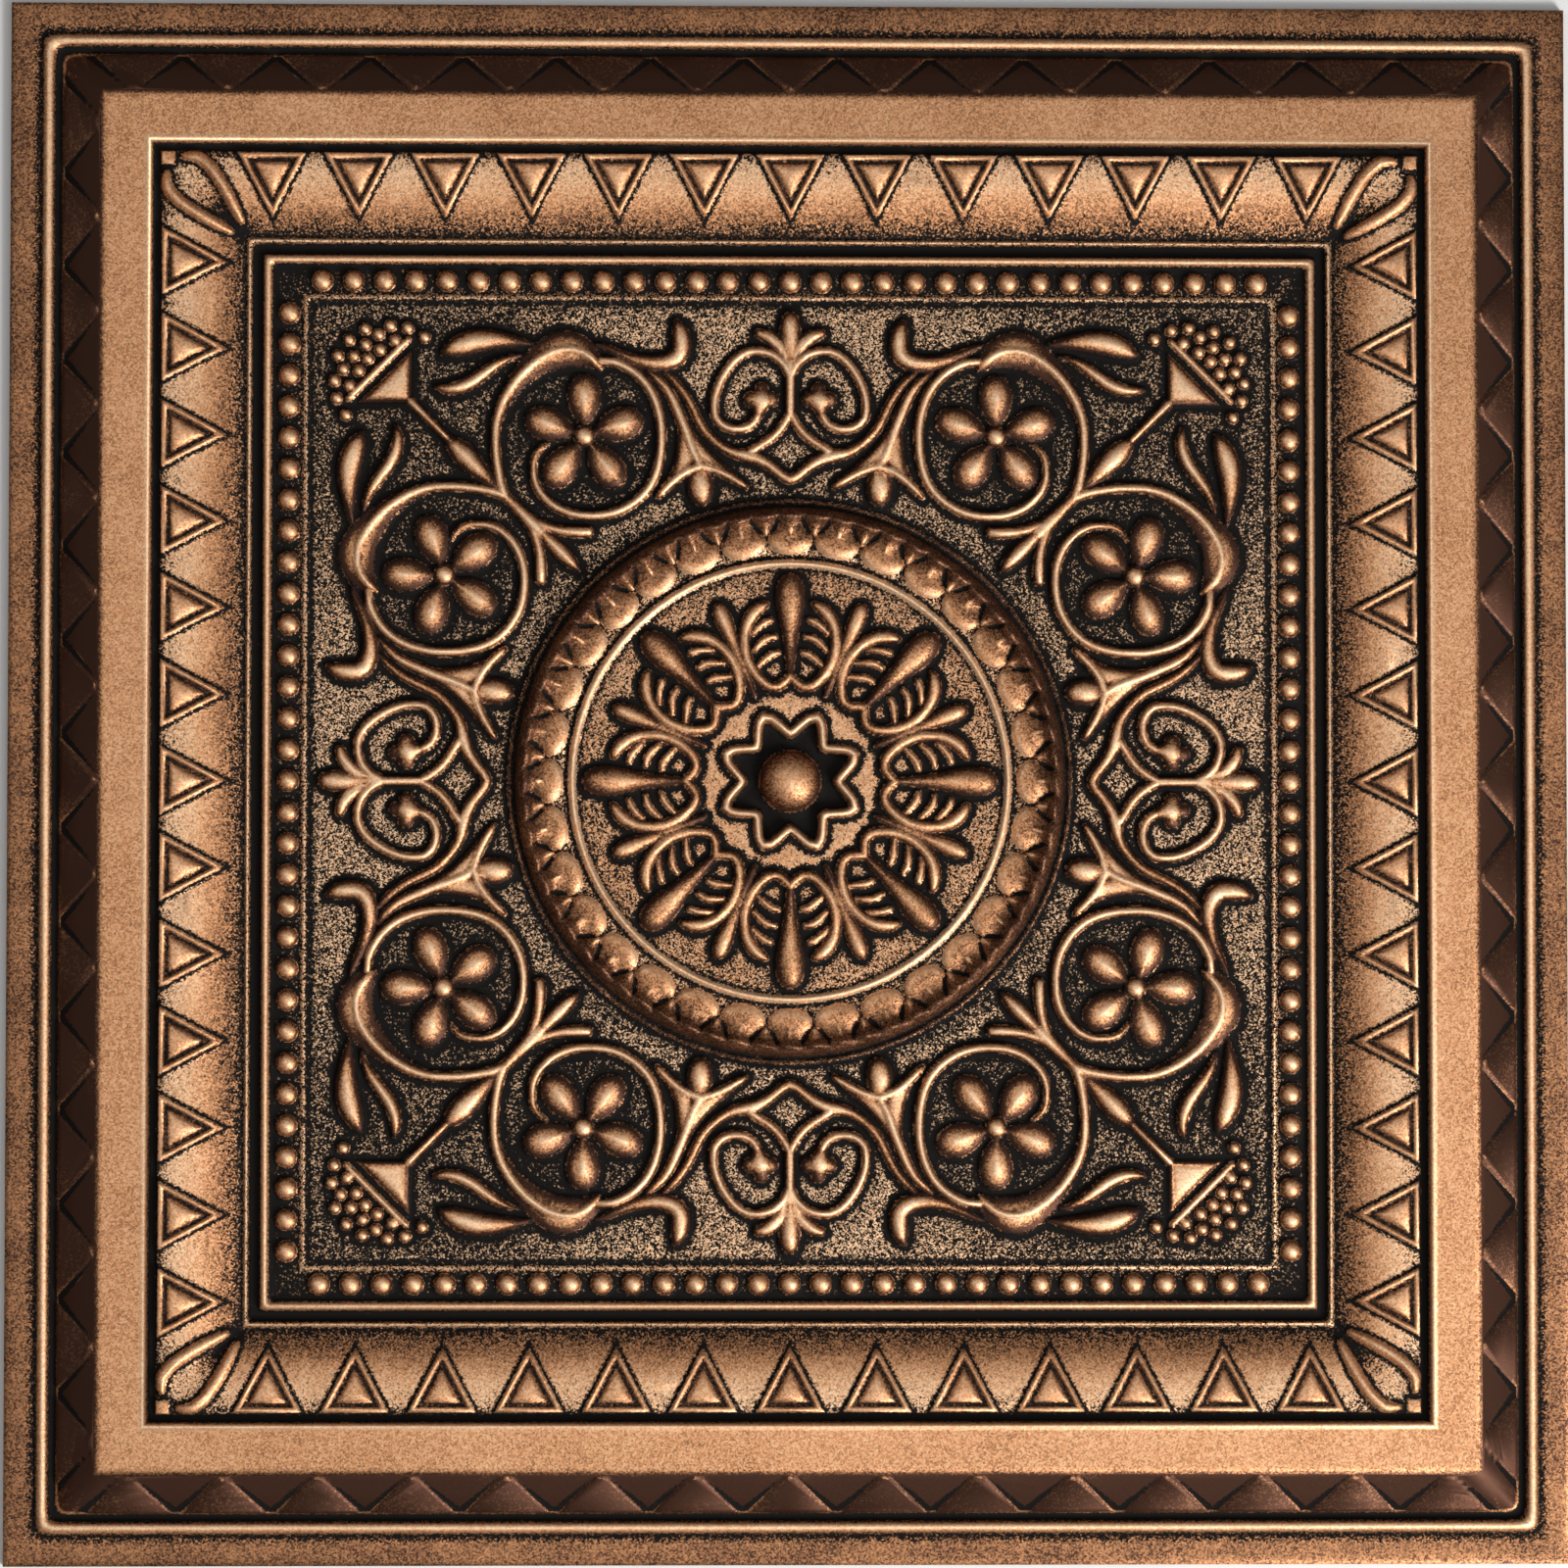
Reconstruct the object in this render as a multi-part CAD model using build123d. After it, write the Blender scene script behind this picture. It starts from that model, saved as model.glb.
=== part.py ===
"""A square moulded-foam ceiling tile, 500 mm on a side, lying on its flat back with the relief upwards.

The tile is one moulded piece: a flange, a raised frame with a toothed outer slope, a cove set with
triangles, a beaded border, and a panel of scrolls and flowers round a medallion. Millimetres, +Z up,
origin on the back face under the middle of the tile.
"""
import os
from math import cos, hypot, pi, sin

from build123d import *

# Overall size
TILE_SIDE = 500.0
FLANGE_EDGE_HEIGHT = 3.2

# Mouldings of the frame, from the edge inwards: widths across, and heights above the back
FLANGE_WIDTH = 10.3
FLANGE_HEIGHT = 3.8
RAIL_WIDTH = 4.0
RAIL_RISE = 2.2
RAIL_GROOVE_WIDTH = 2.2
RAIL_GROOVE_HEIGHT = 2.9
SLOPE_WIDTH = 12.8
BAND_WIDTH = 14.5
BAND_HEIGHT = 13.0
LIP_WIDTH = 2.0
LIP_RISE = 0.8
BAND_GROOVE_WIDTH = 3.1
BAND_GROOVE_HEIGHT = 9.0
COVE_WIDTH = 26.4
COVE_TOP_HEIGHT = 10.4
COVE_FOOT_HEIGHT = 5.0
COVE_BULGE = 1.5
FILLET_WIDTH = 2.8
FILLET_RISE = 1.1
INNER_GROOVE_WIDTH = 2.8
INNER_GROOVE_HEIGHT = 3.4
RIB_WIDTH = 3.4
RIB_RISE = 2.4
BEAD_CHANNEL_WIDTH = 9.4
BEAD_CHANNEL_HEIGHT = 4.0
FIELD_LIP_WIDTH = 2.0
FIELD_LIP_RISE = 0.7
FIELD_HEIGHT = 4.6

# Share of a ridge's width that its flat crest takes
CREST_SHARE = 0.4

# Teeth on the outer slope
TEETH_PER_SIDE = 15
TOOTH_PITCH = 30.0
TOOTH_BASE = 25.4
TOOTH_RISE = 0.9
TOOTH_FOOT_GAP = 0.4
TOOTH_TIP_GAP = 0.5

# Triangles on the cove
TRIANGLES_PER_SIDE = 13
TRIANGLE_PITCH = 27.65
TRIANGLE_BASE = 22.0
TRIANGLE_LENGTH = 20.8
TRIANGLE_START = 0.4
TRIANGLE_RISE = 1.7
TRIANGLE_RIM = 1.7
TRIANGLE_GROOVE = 1.6
TRIANGLE_GROOVE_DEPTH = 1.0

# Bead border
BEADS_PER_SIDE = 31
BEAD_PITCH = 10.0
BEAD_DIAMETER = 6.9
BEAD_RISE = 2.9
BEAD_TAPER = 32.0
BEAD_FACETS = 5

# Scrollwork of the panel: how far strands, leaves and petals stand above the ground
STRAND_RISE = 2.2
LEAF_RISE = 2.6
PETAL_RISE = 2.3
FLOWER_BALL_DIAMETER = 6.6
FLOWER_BALL_RISE = 3.2
FLOWER_PLACE = (66.0, 110.7)
PETALS_PER_FLOWER = 5

# Runs of the scrollwork between the middle line and the diagonal: places in plan with the half-width there,
# which is 0 at a tip
SPIRAL = [
    (0.6, 131.4, 1.6), (8.4, 137.9, 1.6), (18.2, 134.6, 1.6), (24.3, 121.6, 1.6), (19.6, 113.3, 1.6),
    (12.6, 114.4, 1.6), (10.2, 118.6, 1.6),
]
SPIRAL_BUD = [(10.4, 117.6, 1.4), (9.6, 121.4, 4.4), (9.2, 124.6, 3.2), (8.9, 128.6, 0.0)]
DIAMOND = [(0.0, 118.6, 1.5), (5.2, 110.9, 1.5), (13.6, 105.2, 1.8)]
LOWER_STRAND = [
    (0.0, 97.2, 1.6), (12.5, 104.4, 2.1), (24.0, 108.9, 1.5), (31.0, 119.2, 1.5), (39.6, 130.8, 0.0),
]
BELL = [(45.0, 131.0, 0.0), (38.2, 123.5, 1.7), (33.2, 111.0, 2.8), (29.0, 101.6, 7.2)]
BELL_LEFT_ARM = [(29.0, 101.6, 1.7), (22.0, 99.0, 1.6), (14.4, 94.7, 0.0)]
BELL_RIGHT_ARM = [(28.4, 101.6, 1.7), (35.3, 98.0, 1.7), (42.2, 91.4, 0.0)]
BELL_BUD = [(28.6, 101.0, 2.0), (28.7, 94.8, 4.3), (28.3, 88.6, 0.0)]
INNER_RING = [
    (60.3, 134.9, 1.7), (48.7, 130.2, 1.7), (41.8, 117.0, 1.7), (42.2, 101.5, 1.7), (50.0, 89.2, 1.7),
    (64.5, 85.0, 1.7), (78.0, 89.9, 1.6), (82.3, 99.5, 1.5), (78.0, 108.2, 0.0),
]
OUTER_RING = [
    (61.2, 133.0, 0.0), (67.0, 137.6, 4.9), (75.0, 138.0, 6.3), (83.5, 132.2, 4.8), (91.6, 120.4, 2.5),
    (94.0, 105.5, 1.8), (91.4, 91.0, 1.8),
]
HOOK_LEAF = [
    (36.6, 147.8, 0.0), (34.8, 141.4, 3.4), (36.4, 136.1, 3.4), (44.0, 134.2, 2.8), (61.8, 140.2, 0.0),
]
FAT_LEAF = [(82.8, 140.3, 0.0), (93.0, 141.4, 3.4), (103.0, 140.9, 4.5), (111.6, 137.0, 0.0)]
SLIM_LEAF = [(86.8, 136.5, 0.0), (97.6, 131.2, 2.7), (107.0, 126.3, 2.6), (113.8, 126.1, 0.0)]
TRUNK_SIDE = [(64.4, 79.9, 2.1), (73.0, 80.2, 1.9), (82.0, 83.2, 1.7)]
PETAL = [(3.0, 0.0, 1.4), (12.5, 0.0, 5.6), (19.2, 0.0, 2.0)]

# Runs on the middle line, where x is 0, and on the diagonal, measured along it from the middle of the tile
MIDDLE_BUD = [(0.0, 131.0, 1.8), (0.0, 141.0, 2.8), (0.0, 146.6, 3.0), (0.0, 150.8, 0.0)]
MIDDLE_PETAL = [(1.0, 133.5, 1.6), (4.4, 140.8, 1.8), (11.0, 144.0, 0.0)]
MIDDLE_LINE = [(0.0, 133.0, 1.7), (0.0, 117.6, 1.7)]
TRUNK = [(94.8, 0.0, 0.0), (103.2, 0.0, 3.1), (110.5, 0.0, 2.3), (117.0, 0.0, 2.7), (131.6, 0.0, 1.9)]
THISTLE_STEM = [(131.0, 0.0, 1.7), (145.5, 0.0, 3.3), (155.0, 0.0, 1.6), (173.0, 0.0, 1.6)]
THISTLE_CUP = [(171.2, 0.0, 1.6), (184.2, 0.0, 13.2)]
THISTLE_RIM = [(186.0, 0.0, 15.2), (187.9, 0.0, 15.2)]

# Medallion, from the outside inwards: radii and heights
MEDALLION_RADIUS = 88.4
RIM_OUTER_RADIUS = 86.6
RIM_INNER_RADIUS = 84.2
RIM_HEIGHT = 9.5
SOCKET_HEIGHT = 7.3
RING_RADIUS = 69.7
RING_WIDTH = 3.4
RING_CREST_WIDTH = 1.2
RING_HEIGHT = 9.6
DISH_HEIGHT = 8.0
EGG_COUNT = 32
EGG_RADIUS = 76.2
EGG_LENGTH = 7.4
EGG_WIDTH = 12.8
EGG_RISE = 1.9
EGG_TAPER = 45.0
EGG_FACETS = 6
DARTS_PER_EGG = 2
DART_LENGTH = 4.2
DART_ROOT = 1.0

# Rosette in the medallion
DROP_COUNT = 8
DROP = [(31.0, 0.0, 0.9), (55.0, 0.0, 4.6), (61.5, 0.0, 5.2)]
DROP_CLEARANCE = 1.3
DROP_TIP_HALF = 1.6
DROP_RISE = 3.0
LOOP = [(33.2, 1.2, 1.5), (31.2, 4.8, 1.5), (35.4, 11.9, 2.0), (47.0, 14.4, 2.3), (55.6, 8.0, 0.0)]
BUD = [(30.0, 0.0, 0.0), (56.0, 0.0, 3.1), (60.8, 0.0, 0.0)]
LOOP_RISE = 2.4
BALL_DIAMETER = 20.2
BALL_RISE = 5.2
BALL_BANDS = 3
BALL_FACETS = 12
STAR_POINTS = 8
STAR_TIP_RADIUS = 23.6
STAR_NOTCH_RADIUS = 16.6
STAR_LINE_WIDTH = 2.6
STAR_RISE = 1.8
STAR_WELL_DEPTH = 2.4

# How deep raised relief is rooted in the body below it
ROOT = 1.0


def mouldings():
    """Half-widths of the square on which each moulding starts, worked out from the edge inwards."""
    names_and_widths = [
        ("flange", FLANGE_WIDTH),
        ("rail", RAIL_WIDTH),
        ("rail_groove", RAIL_GROOVE_WIDTH),
        ("slope", SLOPE_WIDTH),
        ("band", BAND_WIDTH),
        ("lip", LIP_WIDTH),
        ("band_groove", BAND_GROOVE_WIDTH),
        ("cove", COVE_WIDTH),
        ("fillet", FILLET_WIDTH),
        ("inner_groove", INNER_GROOVE_WIDTH),
        ("rib", RIB_WIDTH),
        ("bead_channel", BEAD_CHANNEL_WIDTH),
        ("field_lip", FIELD_LIP_WIDTH),
    ]
    starts = {}
    reach = TILE_SIDE / 2
    for name, width in names_and_widths:
        starts[name] = reach
        reach -= width
    starts["field"] = reach
    return starts


EDGE = mouldings()


def section_point(reach, height):
    """A point of the moulding's section, which stands across the middle of the front side."""
    return (0, -reach, height)


def ridge(start, end, height, rise):
    """A low ridge between two half-widths at one height, with sloping flanks and a flat crest."""
    flank = (start - end) * (1 - CREST_SHARE) / 2
    return Polyline(
        section_point(start, height),
        section_point(start - flank, height + rise),
        section_point(end + flank, height + rise),
        section_point(end, height),
    )


def cove_arc():
    """The swelling curve of the cove."""
    start, end = EDGE["cove"], EDGE["fillet"]
    middle_height = (COVE_TOP_HEIGHT + COVE_FOOT_HEIGHT) / 2 + COVE_BULGE
    return ThreePointArc(
        section_point(start, COVE_TOP_HEIGHT),
        section_point((start + end) / 2, middle_height),
        section_point(end, COVE_FOOT_HEIGHT),
    )


def on_cove(reach):
    """The point of the cove's curve at a half-width."""
    across = Plane(origin=section_point(reach, 0), z_dir=(0, 1, 0))
    return cove_arc().intersect(across)[0].center()


def frame_section():
    """The closed section of the frame, from the tile's edge to the field."""
    e = EDGE
    edges = [
        Polyline(
            section_point(e["field"], 0),
            section_point(e["flange"], 0),
            section_point(e["flange"], FLANGE_EDGE_HEIGHT),
            section_point(e["rail"], FLANGE_HEIGHT),
        ),
        ridge(e["rail"], e["rail_groove"], FLANGE_HEIGHT, RAIL_RISE),
        Polyline(
            section_point(e["rail_groove"], FLANGE_HEIGHT),
            section_point(e["rail_groove"], RAIL_GROOVE_HEIGHT),
            section_point(e["slope"], RAIL_GROOVE_HEIGHT),
            section_point(e["band"], BAND_HEIGHT),
            section_point(e["lip"], BAND_HEIGHT),
        ),
        ridge(e["lip"], e["band_groove"], BAND_HEIGHT, LIP_RISE),
        Polyline(
            section_point(e["band_groove"], BAND_HEIGHT),
            section_point(e["band_groove"], BAND_GROOVE_HEIGHT),
            section_point(e["cove"], BAND_GROOVE_HEIGHT),
            section_point(e["cove"], COVE_TOP_HEIGHT),
        ),
        cove_arc(),
        ridge(e["fillet"], e["inner_groove"], COVE_FOOT_HEIGHT, FILLET_RISE),
        Polyline(
            section_point(e["inner_groove"], COVE_FOOT_HEIGHT),
            section_point(e["inner_groove"], INNER_GROOVE_HEIGHT),
            section_point(e["rib"], INNER_GROOVE_HEIGHT),
            section_point(e["rib"], BEAD_CHANNEL_HEIGHT),
        ),
        ridge(e["rib"], e["bead_channel"], BEAD_CHANNEL_HEIGHT, RIB_RISE),
        Polyline(
            section_point(e["bead_channel"], BEAD_CHANNEL_HEIGHT),
            section_point(e["field_lip"], BEAD_CHANNEL_HEIGHT),
            section_point(e["field_lip"], FIELD_HEIGHT),
        ),
        ridge(e["field_lip"], e["field"], FIELD_HEIGHT, FIELD_LIP_RISE),
        Line(section_point(e["field"], FIELD_HEIGHT), section_point(e["field"], 0)),
    ]
    return make_face(Curve() + edges)


def carried_round(section):
    """A section carried round the square of the tile, mitred at the corners."""
    half = TILE_SIDE / 2
    path = Polyline(
        (0, -half, 0), (half, -half, 0), (half, half, 0), (-half, half, 0), (-half, -half, 0), (0, -half, 0)
    )
    return sweep(section, path=path, transition=Transition.RIGHT)


def turned(piece, count):
    """Copies of a piece, spread evenly about the upright axis."""
    return [Rot(0, 0, 360 / count * i) * piece for i in range(count)]


def spread_along(count, pitch):
    """Places along a side, centred on its middle."""
    return [pitch * (i - (count - 1) / 2) for i in range(count)]


def slope_teeth():
    """Flat triangular teeth on the outer slope of the front side, with their points towards the band."""
    run = EDGE["slope"] - EDGE["band"]
    climb = BAND_HEIGHT - RAIL_GROOVE_HEIGHT
    length = hypot(run, climb)
    base = Vector(*section_point(EDGE["slope"], RAIL_GROOVE_HEIGHT))
    outward = Vector(0, -climb, run).normalized()
    slope_plane = Plane(origin=base - outward * ROOT, x_dir=(1, 0, 0), z_dir=outward)
    tooth = make_face(
        Polyline(
            (-TOOTH_BASE / 2, TOOTH_FOOT_GAP),
            (TOOTH_BASE / 2, TOOTH_FOOT_GAP),
            (0, length - TOOTH_TIP_GAP),
            close=True,
        )
    )
    row = [Pos(x, 0) * tooth for x in spread_along(TEETH_PER_SIDE, TOOTH_PITCH)]
    return extrude(slope_plane * (Sketch() + row), amount=ROOT + TOOTH_RISE, dir=outward)


def triangle(inset, length):
    """A triangle of the cove, its edges drawn in by inset, with its base on the x axis and its point up."""
    corners = make_face(Polyline((-TRIANGLE_BASE / 2, 0), (TRIANGLE_BASE / 2, 0), (0, length), close=True))
    return offset(corners, -inset, kind=Kind.INTERSECTION) if inset else corners


def cove_triangles():
    """Raised triangles on the cove of the front side: plates to add, and grooves inside their rims to cut.

    A plate's flat top runs beside the chord of the cove's curve under it."""
    start = EDGE["cove"] - TRIANGLE_START
    base, tip = on_cove(start), on_cove(start - TRIANGLE_LENGTH)
    down_cove = tip - base
    outward = Vector(1, 0, 0).cross(down_cove).normalized()
    top_plane = Plane(origin=base + outward * TRIANGLE_RISE, x_dir=(1, 0, 0), z_dir=outward)
    length = down_cove.length
    groove = triangle(TRIANGLE_RIM, length) - triangle(TRIANGLE_RIM + TRIANGLE_GROOVE, length)
    places = spread_along(TRIANGLES_PER_SIDE, TRIANGLE_PITCH)

    def sunk(outline, depth):
        row = Sketch() + [Pos(x, 0) * outline for x in places]
        return extrude(top_plane * row, amount=depth, dir=-outward)

    plates = sunk(triangle(0, length), TRIANGLE_RISE + ROOT)
    return plates, sunk(groove, TRIANGLE_GROOVE_DEPTH)


def stud(outline, ground, rise, taper):
    """A raised stud on an outline: straight where it is rooted below the ground, and drawn in above it."""
    root = Pos(0, 0, ground - ROOT) * extrude(outline, amount=ROOT)
    return root + Pos(0, 0, ground) * extrude(outline, amount=rise, taper=taper)


def bead_row():
    """The beads of the front side, each a low dome with flat facets."""
    reach = EDGE["bead_channel"] - BEAD_CHANNEL_WIDTH / 2
    bead = stud(RegularPolygon(BEAD_DIAMETER / 2, BEAD_FACETS), BEAD_CHANNEL_HEIGHT, BEAD_RISE, BEAD_TAPER)
    return [Pos(x, -reach, 0) * bead for x in spread_along(BEADS_PER_SIDE, BEAD_PITCH)]


def ribbon(knots):
    """The outline of a strand or leaf in plan, along a run of knots that hold x, y and the half-width there.

    A knot gives a corner on either side of the run, or a single one at a tip, where the half-width is 0."""
    left, right = [], []
    for i, (x, y, half) in enumerate(knots):
        before, after = knots[max(i - 1, 0)], knots[min(i + 1, len(knots) - 1)]
        along = Vector(after[0] - before[0], after[1] - before[1]).normalized()
        across = Vector(-along.Y, along.X) * half
        left.append(Vector(x, y) + across)
        if half:
            right.append(Vector(x, y) - across)
    return make_face(Polyline(*left, *right[::-1], close=True))


def raised(outlines, ground, rise):
    """Flat-topped relief on one or more outlines, rooted below the ground."""
    return Pos(0, 0, ground - ROOT) * extrude(Sketch() + outlines, amount=ROOT + rise)


def scroll_half():
    """The strands and leaves between the middle line and the diagonal."""
    strands = [SPIRAL, DIAMOND, LOWER_STRAND, BELL, BELL_LEFT_ARM, BELL_RIGHT_ARM, INNER_RING, TRUNK_SIDE]
    low = raised([ribbon(knots) for knots in strands], FIELD_HEIGHT, STRAND_RISE)
    leaves = [OUTER_RING, HOOK_LEAF, FAT_LEAF, SLIM_LEAF, BELL_BUD, SPIRAL_BUD, MIDDLE_PETAL]
    high = raised([ribbon(knots) for knots in leaves], FIELD_HEIGHT, LEAF_RISE)
    return low + high


def flower():
    """A five-petalled flower with a ball in its middle, and one petal that points to the border."""
    petals = turned(Rot(0, 0, 90) * ribbon(PETAL), PETALS_PER_FLOWER)
    outline = RegularPolygon(FLOWER_BALL_DIAMETER / 2, BEAD_FACETS)
    ball = stud(outline, FIELD_HEIGHT, FLOWER_BALL_RISE, BEAD_TAPER)
    return Pos(*FLOWER_PLACE) * (raised(petals, FIELD_HEIGHT, PETAL_RISE) + ball)


def middle_scroll():
    """The bud and the strand on the middle line of the far side."""
    return raised([ribbon(MIDDLE_BUD), ribbon(MIDDLE_LINE)], FIELD_HEIGHT, LEAF_RISE)


def thistle():
    """The trunk, stem, cup and rim on the diagonal, drawn along +X and turned to it."""
    runs = [TRUNK, THISTLE_STEM, THISTLE_CUP, THISTLE_RIM]
    flat = raised([ribbon(knots) for knots in runs], FIELD_HEIGHT, STRAND_RISE)
    return Rot(0, 0, 45) * flat


def medallion():
    """The raised round of the panel: a rim, a socket for the eggs, a thin ring and a dish, turned in one."""
    ring_start, ring_end = RING_RADIUS + RING_WIDTH / 2, RING_RADIUS - RING_WIDTH / 2
    crest_start, crest_end = RING_RADIUS + RING_CREST_WIDTH / 2, RING_RADIUS - RING_CREST_WIDTH / 2
    rim_wall = RIM_INNER_RADIUS + DART_ROOT
    profile = Polyline(
        (0, FIELD_HEIGHT - ROOT),
        (MEDALLION_RADIUS, FIELD_HEIGHT - ROOT),
        (MEDALLION_RADIUS, FIELD_HEIGHT),
        (RIM_OUTER_RADIUS, RIM_HEIGHT),
        (rim_wall, RIM_HEIGHT),
        (rim_wall, SOCKET_HEIGHT),
        (ring_start, SOCKET_HEIGHT),
        (crest_start, RING_HEIGHT),
        (crest_end, RING_HEIGHT),
        (ring_end, DISH_HEIGHT),
        (0, DISH_HEIGHT),
        close=True,
    )
    return revolve(Plane.XZ * make_face(profile), axis=Axis.Z)


def points_round(count, tip_radius, notch_radius):
    """Corners of a star: count tips on one circle and as many notches on another, starting with a notch."""
    return [
        (radius * cos(angle), radius * sin(angle))
        for i in range(2 * count)
        for radius in [notch_radius if i % 2 == 0 else tip_radius]
        for angle in [pi * i / count]
    ]


def eggs_and_darts():
    """Eggs lying in the medallion's socket, and the saw edge of darts that point inwards from its rim."""
    corners = [
        (EGG_LENGTH / 2 * cos(angle), EGG_WIDTH / 2 * sin(angle))
        for i in range(EGG_FACETS)
        for angle in [2 * pi * i / EGG_FACETS]
    ]
    outline = make_face(Polyline(*corners, close=True))
    egg = Pos(EGG_RADIUS, 0, 0) * stud(outline, SOCKET_HEIGHT, EGG_RISE, EGG_TAPER)
    saw_edge = points_round(EGG_COUNT * DARTS_PER_EGG, RIM_INNER_RADIUS - DART_LENGTH, RIM_INNER_RADIUS)
    inside_rim = (RIM_INNER_RADIUS + DART_ROOT + RIM_OUTER_RADIUS) / 2
    saw = Circle(inside_rim) - make_face(Polyline(*saw_edge, close=True))
    darts = raised([saw], SOCKET_HEIGHT, RIM_HEIGHT - SOCKET_HEIGHT)
    return turned(egg, EGG_COUNT) + [darts]


def rosette():
    """Long drops round the dish, loops and buds between them, a star outline, and the well to cut in it."""
    drop_end = RING_RADIUS - RING_WIDTH / 2 - DROP_CLEARANCE
    drop = raised([ribbon(DROP + [(drop_end, 0.0, DROP_TIP_HALF)])], DISH_HEIGHT, DROP_RISE)
    loop = raised([ribbon(LOOP)], DISH_HEIGHT, LOOP_RISE)
    bud = Rot(0, 0, 180 / DROP_COUNT) * raised([ribbon(BUD)], DISH_HEIGHT, LOOP_RISE)
    loops = turned(loop, DROP_COUNT) + turned(mirror(loop, about=Plane.XZ), DROP_COUNT)
    star_corners = points_round(STAR_POINTS, STAR_TIP_RADIUS, STAR_NOTCH_RADIUS)
    star_face = make_face(Polyline(*star_corners, close=True))
    star_inside = offset(star_face, -STAR_LINE_WIDTH, kind=Kind.INTERSECTION)
    star = raised([star_face - star_inside], DISH_HEIGHT, STAR_RISE)
    well_depth = STAR_WELL_DEPTH + STAR_RISE
    well = Pos(0, 0, DISH_HEIGHT + STAR_RISE) * extrude(star_inside, amount=-well_depth)
    return turned(drop, DROP_COUNT) + loops + turned(bud, DROP_COUNT) + [star], well


def middle_ball():
    """The ball in the well: bands of flat facets, as on a ball of BALL_RISE above the dish."""
    half = BALL_DIAMETER / 2
    foot = DISH_HEIGHT - STAR_WELL_DEPTH - ROOT
    bands = [(half, foot)]
    for i in range(BALL_BANDS):
        angle = pi / 2 * i / BALL_BANDS
        bands.append((half * cos(angle), DISH_HEIGHT + BALL_RISE * sin(angle)))
    outlines = [Pos(0, 0, height) * RegularPolygon(radius, BALL_FACETS) for radius, height in bands]
    return loft(outlines, ruled=True)


def ceiling_tile():
    """The whole tile as one solid."""
    field_side = 2 * EDGE["field"]
    field = extrude(Rectangle(field_side, field_side), amount=FIELD_HEIGHT)
    body = carried_round(frame_section()) + field
    half = scroll_half() + flower()
    plates, grooves = cove_triangles()
    both_halves = [half, mirror(half, about=Plane.YZ)]
    raised_on_sides = [slope_teeth(), plates, *bead_row(), middle_scroll(), thistle(), *both_halves]
    raised_on_dish, well = rosette()
    relief = [copy for piece in raised_on_sides for copy in turned(piece, 4)]
    body = body + relief + [medallion()] + eggs_and_darts() + raised_on_dish
    return body - turned(grooves, 4) - well + middle_ball()


os.makedirs("parts", exist_ok=True)
tile = ceiling_tile()
export_step(tile, "parts/ceiling_tile.step")
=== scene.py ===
"""A foam ceiling tile with a tin-ceiling pattern, lying face up, dressed in its antique copper paint.

The tile mirrors about both middles and both diagonals, so its relief is worked out as one height map over
a quarter of the face, in millimetres from the middle of the back. An eighth of it becomes the mesh.
"""

from math import radians

import bpy
import numpy as np
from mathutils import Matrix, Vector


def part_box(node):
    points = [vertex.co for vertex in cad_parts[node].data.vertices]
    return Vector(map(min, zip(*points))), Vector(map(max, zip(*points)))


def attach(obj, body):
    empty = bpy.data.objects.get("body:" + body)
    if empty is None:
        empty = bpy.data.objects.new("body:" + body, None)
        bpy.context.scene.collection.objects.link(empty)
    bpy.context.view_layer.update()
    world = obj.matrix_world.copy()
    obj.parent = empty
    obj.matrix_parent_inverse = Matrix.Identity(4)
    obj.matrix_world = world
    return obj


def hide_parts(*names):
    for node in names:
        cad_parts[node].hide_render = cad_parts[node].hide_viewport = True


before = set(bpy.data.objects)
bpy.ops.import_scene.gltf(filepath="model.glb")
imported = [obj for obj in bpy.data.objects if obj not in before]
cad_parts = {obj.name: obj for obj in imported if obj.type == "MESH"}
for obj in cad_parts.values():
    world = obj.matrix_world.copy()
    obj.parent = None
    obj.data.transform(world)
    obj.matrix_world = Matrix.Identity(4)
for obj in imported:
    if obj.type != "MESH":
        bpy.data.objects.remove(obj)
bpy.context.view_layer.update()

# The stepped frame: square mouldings that run round the tile, moulded in one with it from foam.
# From the edge inwards: flange, rail, groove, slope, flat band with a lip, groove, cove, ridges and the
# bead channel. The copper paint misses the grooves and lies full on the ridges.
MM = 0.001
TILE_HALF = round(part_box("ceiling_tile")[1].x / MM, 3)
FIELD_HEIGHT = 4.6
FIELD_HALF = 154.3
COVE_OUTER, COVE_INNER = 201.1, 174.7
COVE_TOP, COVE_FOOT = 10.4, 4.9
SLOPE_FOOT, SLOPE_TOP = 233.4, 220.7
OUTER_CORNER_ROUND, INNER_CORNER_ROUND, NO_ROUND = 1.5, 0.6, 1e-6
# Where each stretch of the grid starts, and the spacing of its lines.
GRID_STEPS = [
    (0.0, 0.45), (153.5, 0.3), (157.0, 0.45), (165.0, 0.3), (176.0, 0.5), (200.0, 0.3), (207.0, 2.2),
    (217.5, 0.45), (241.0, 1.5), (248.5, 0.25), (TILE_HALF, None),
]
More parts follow.
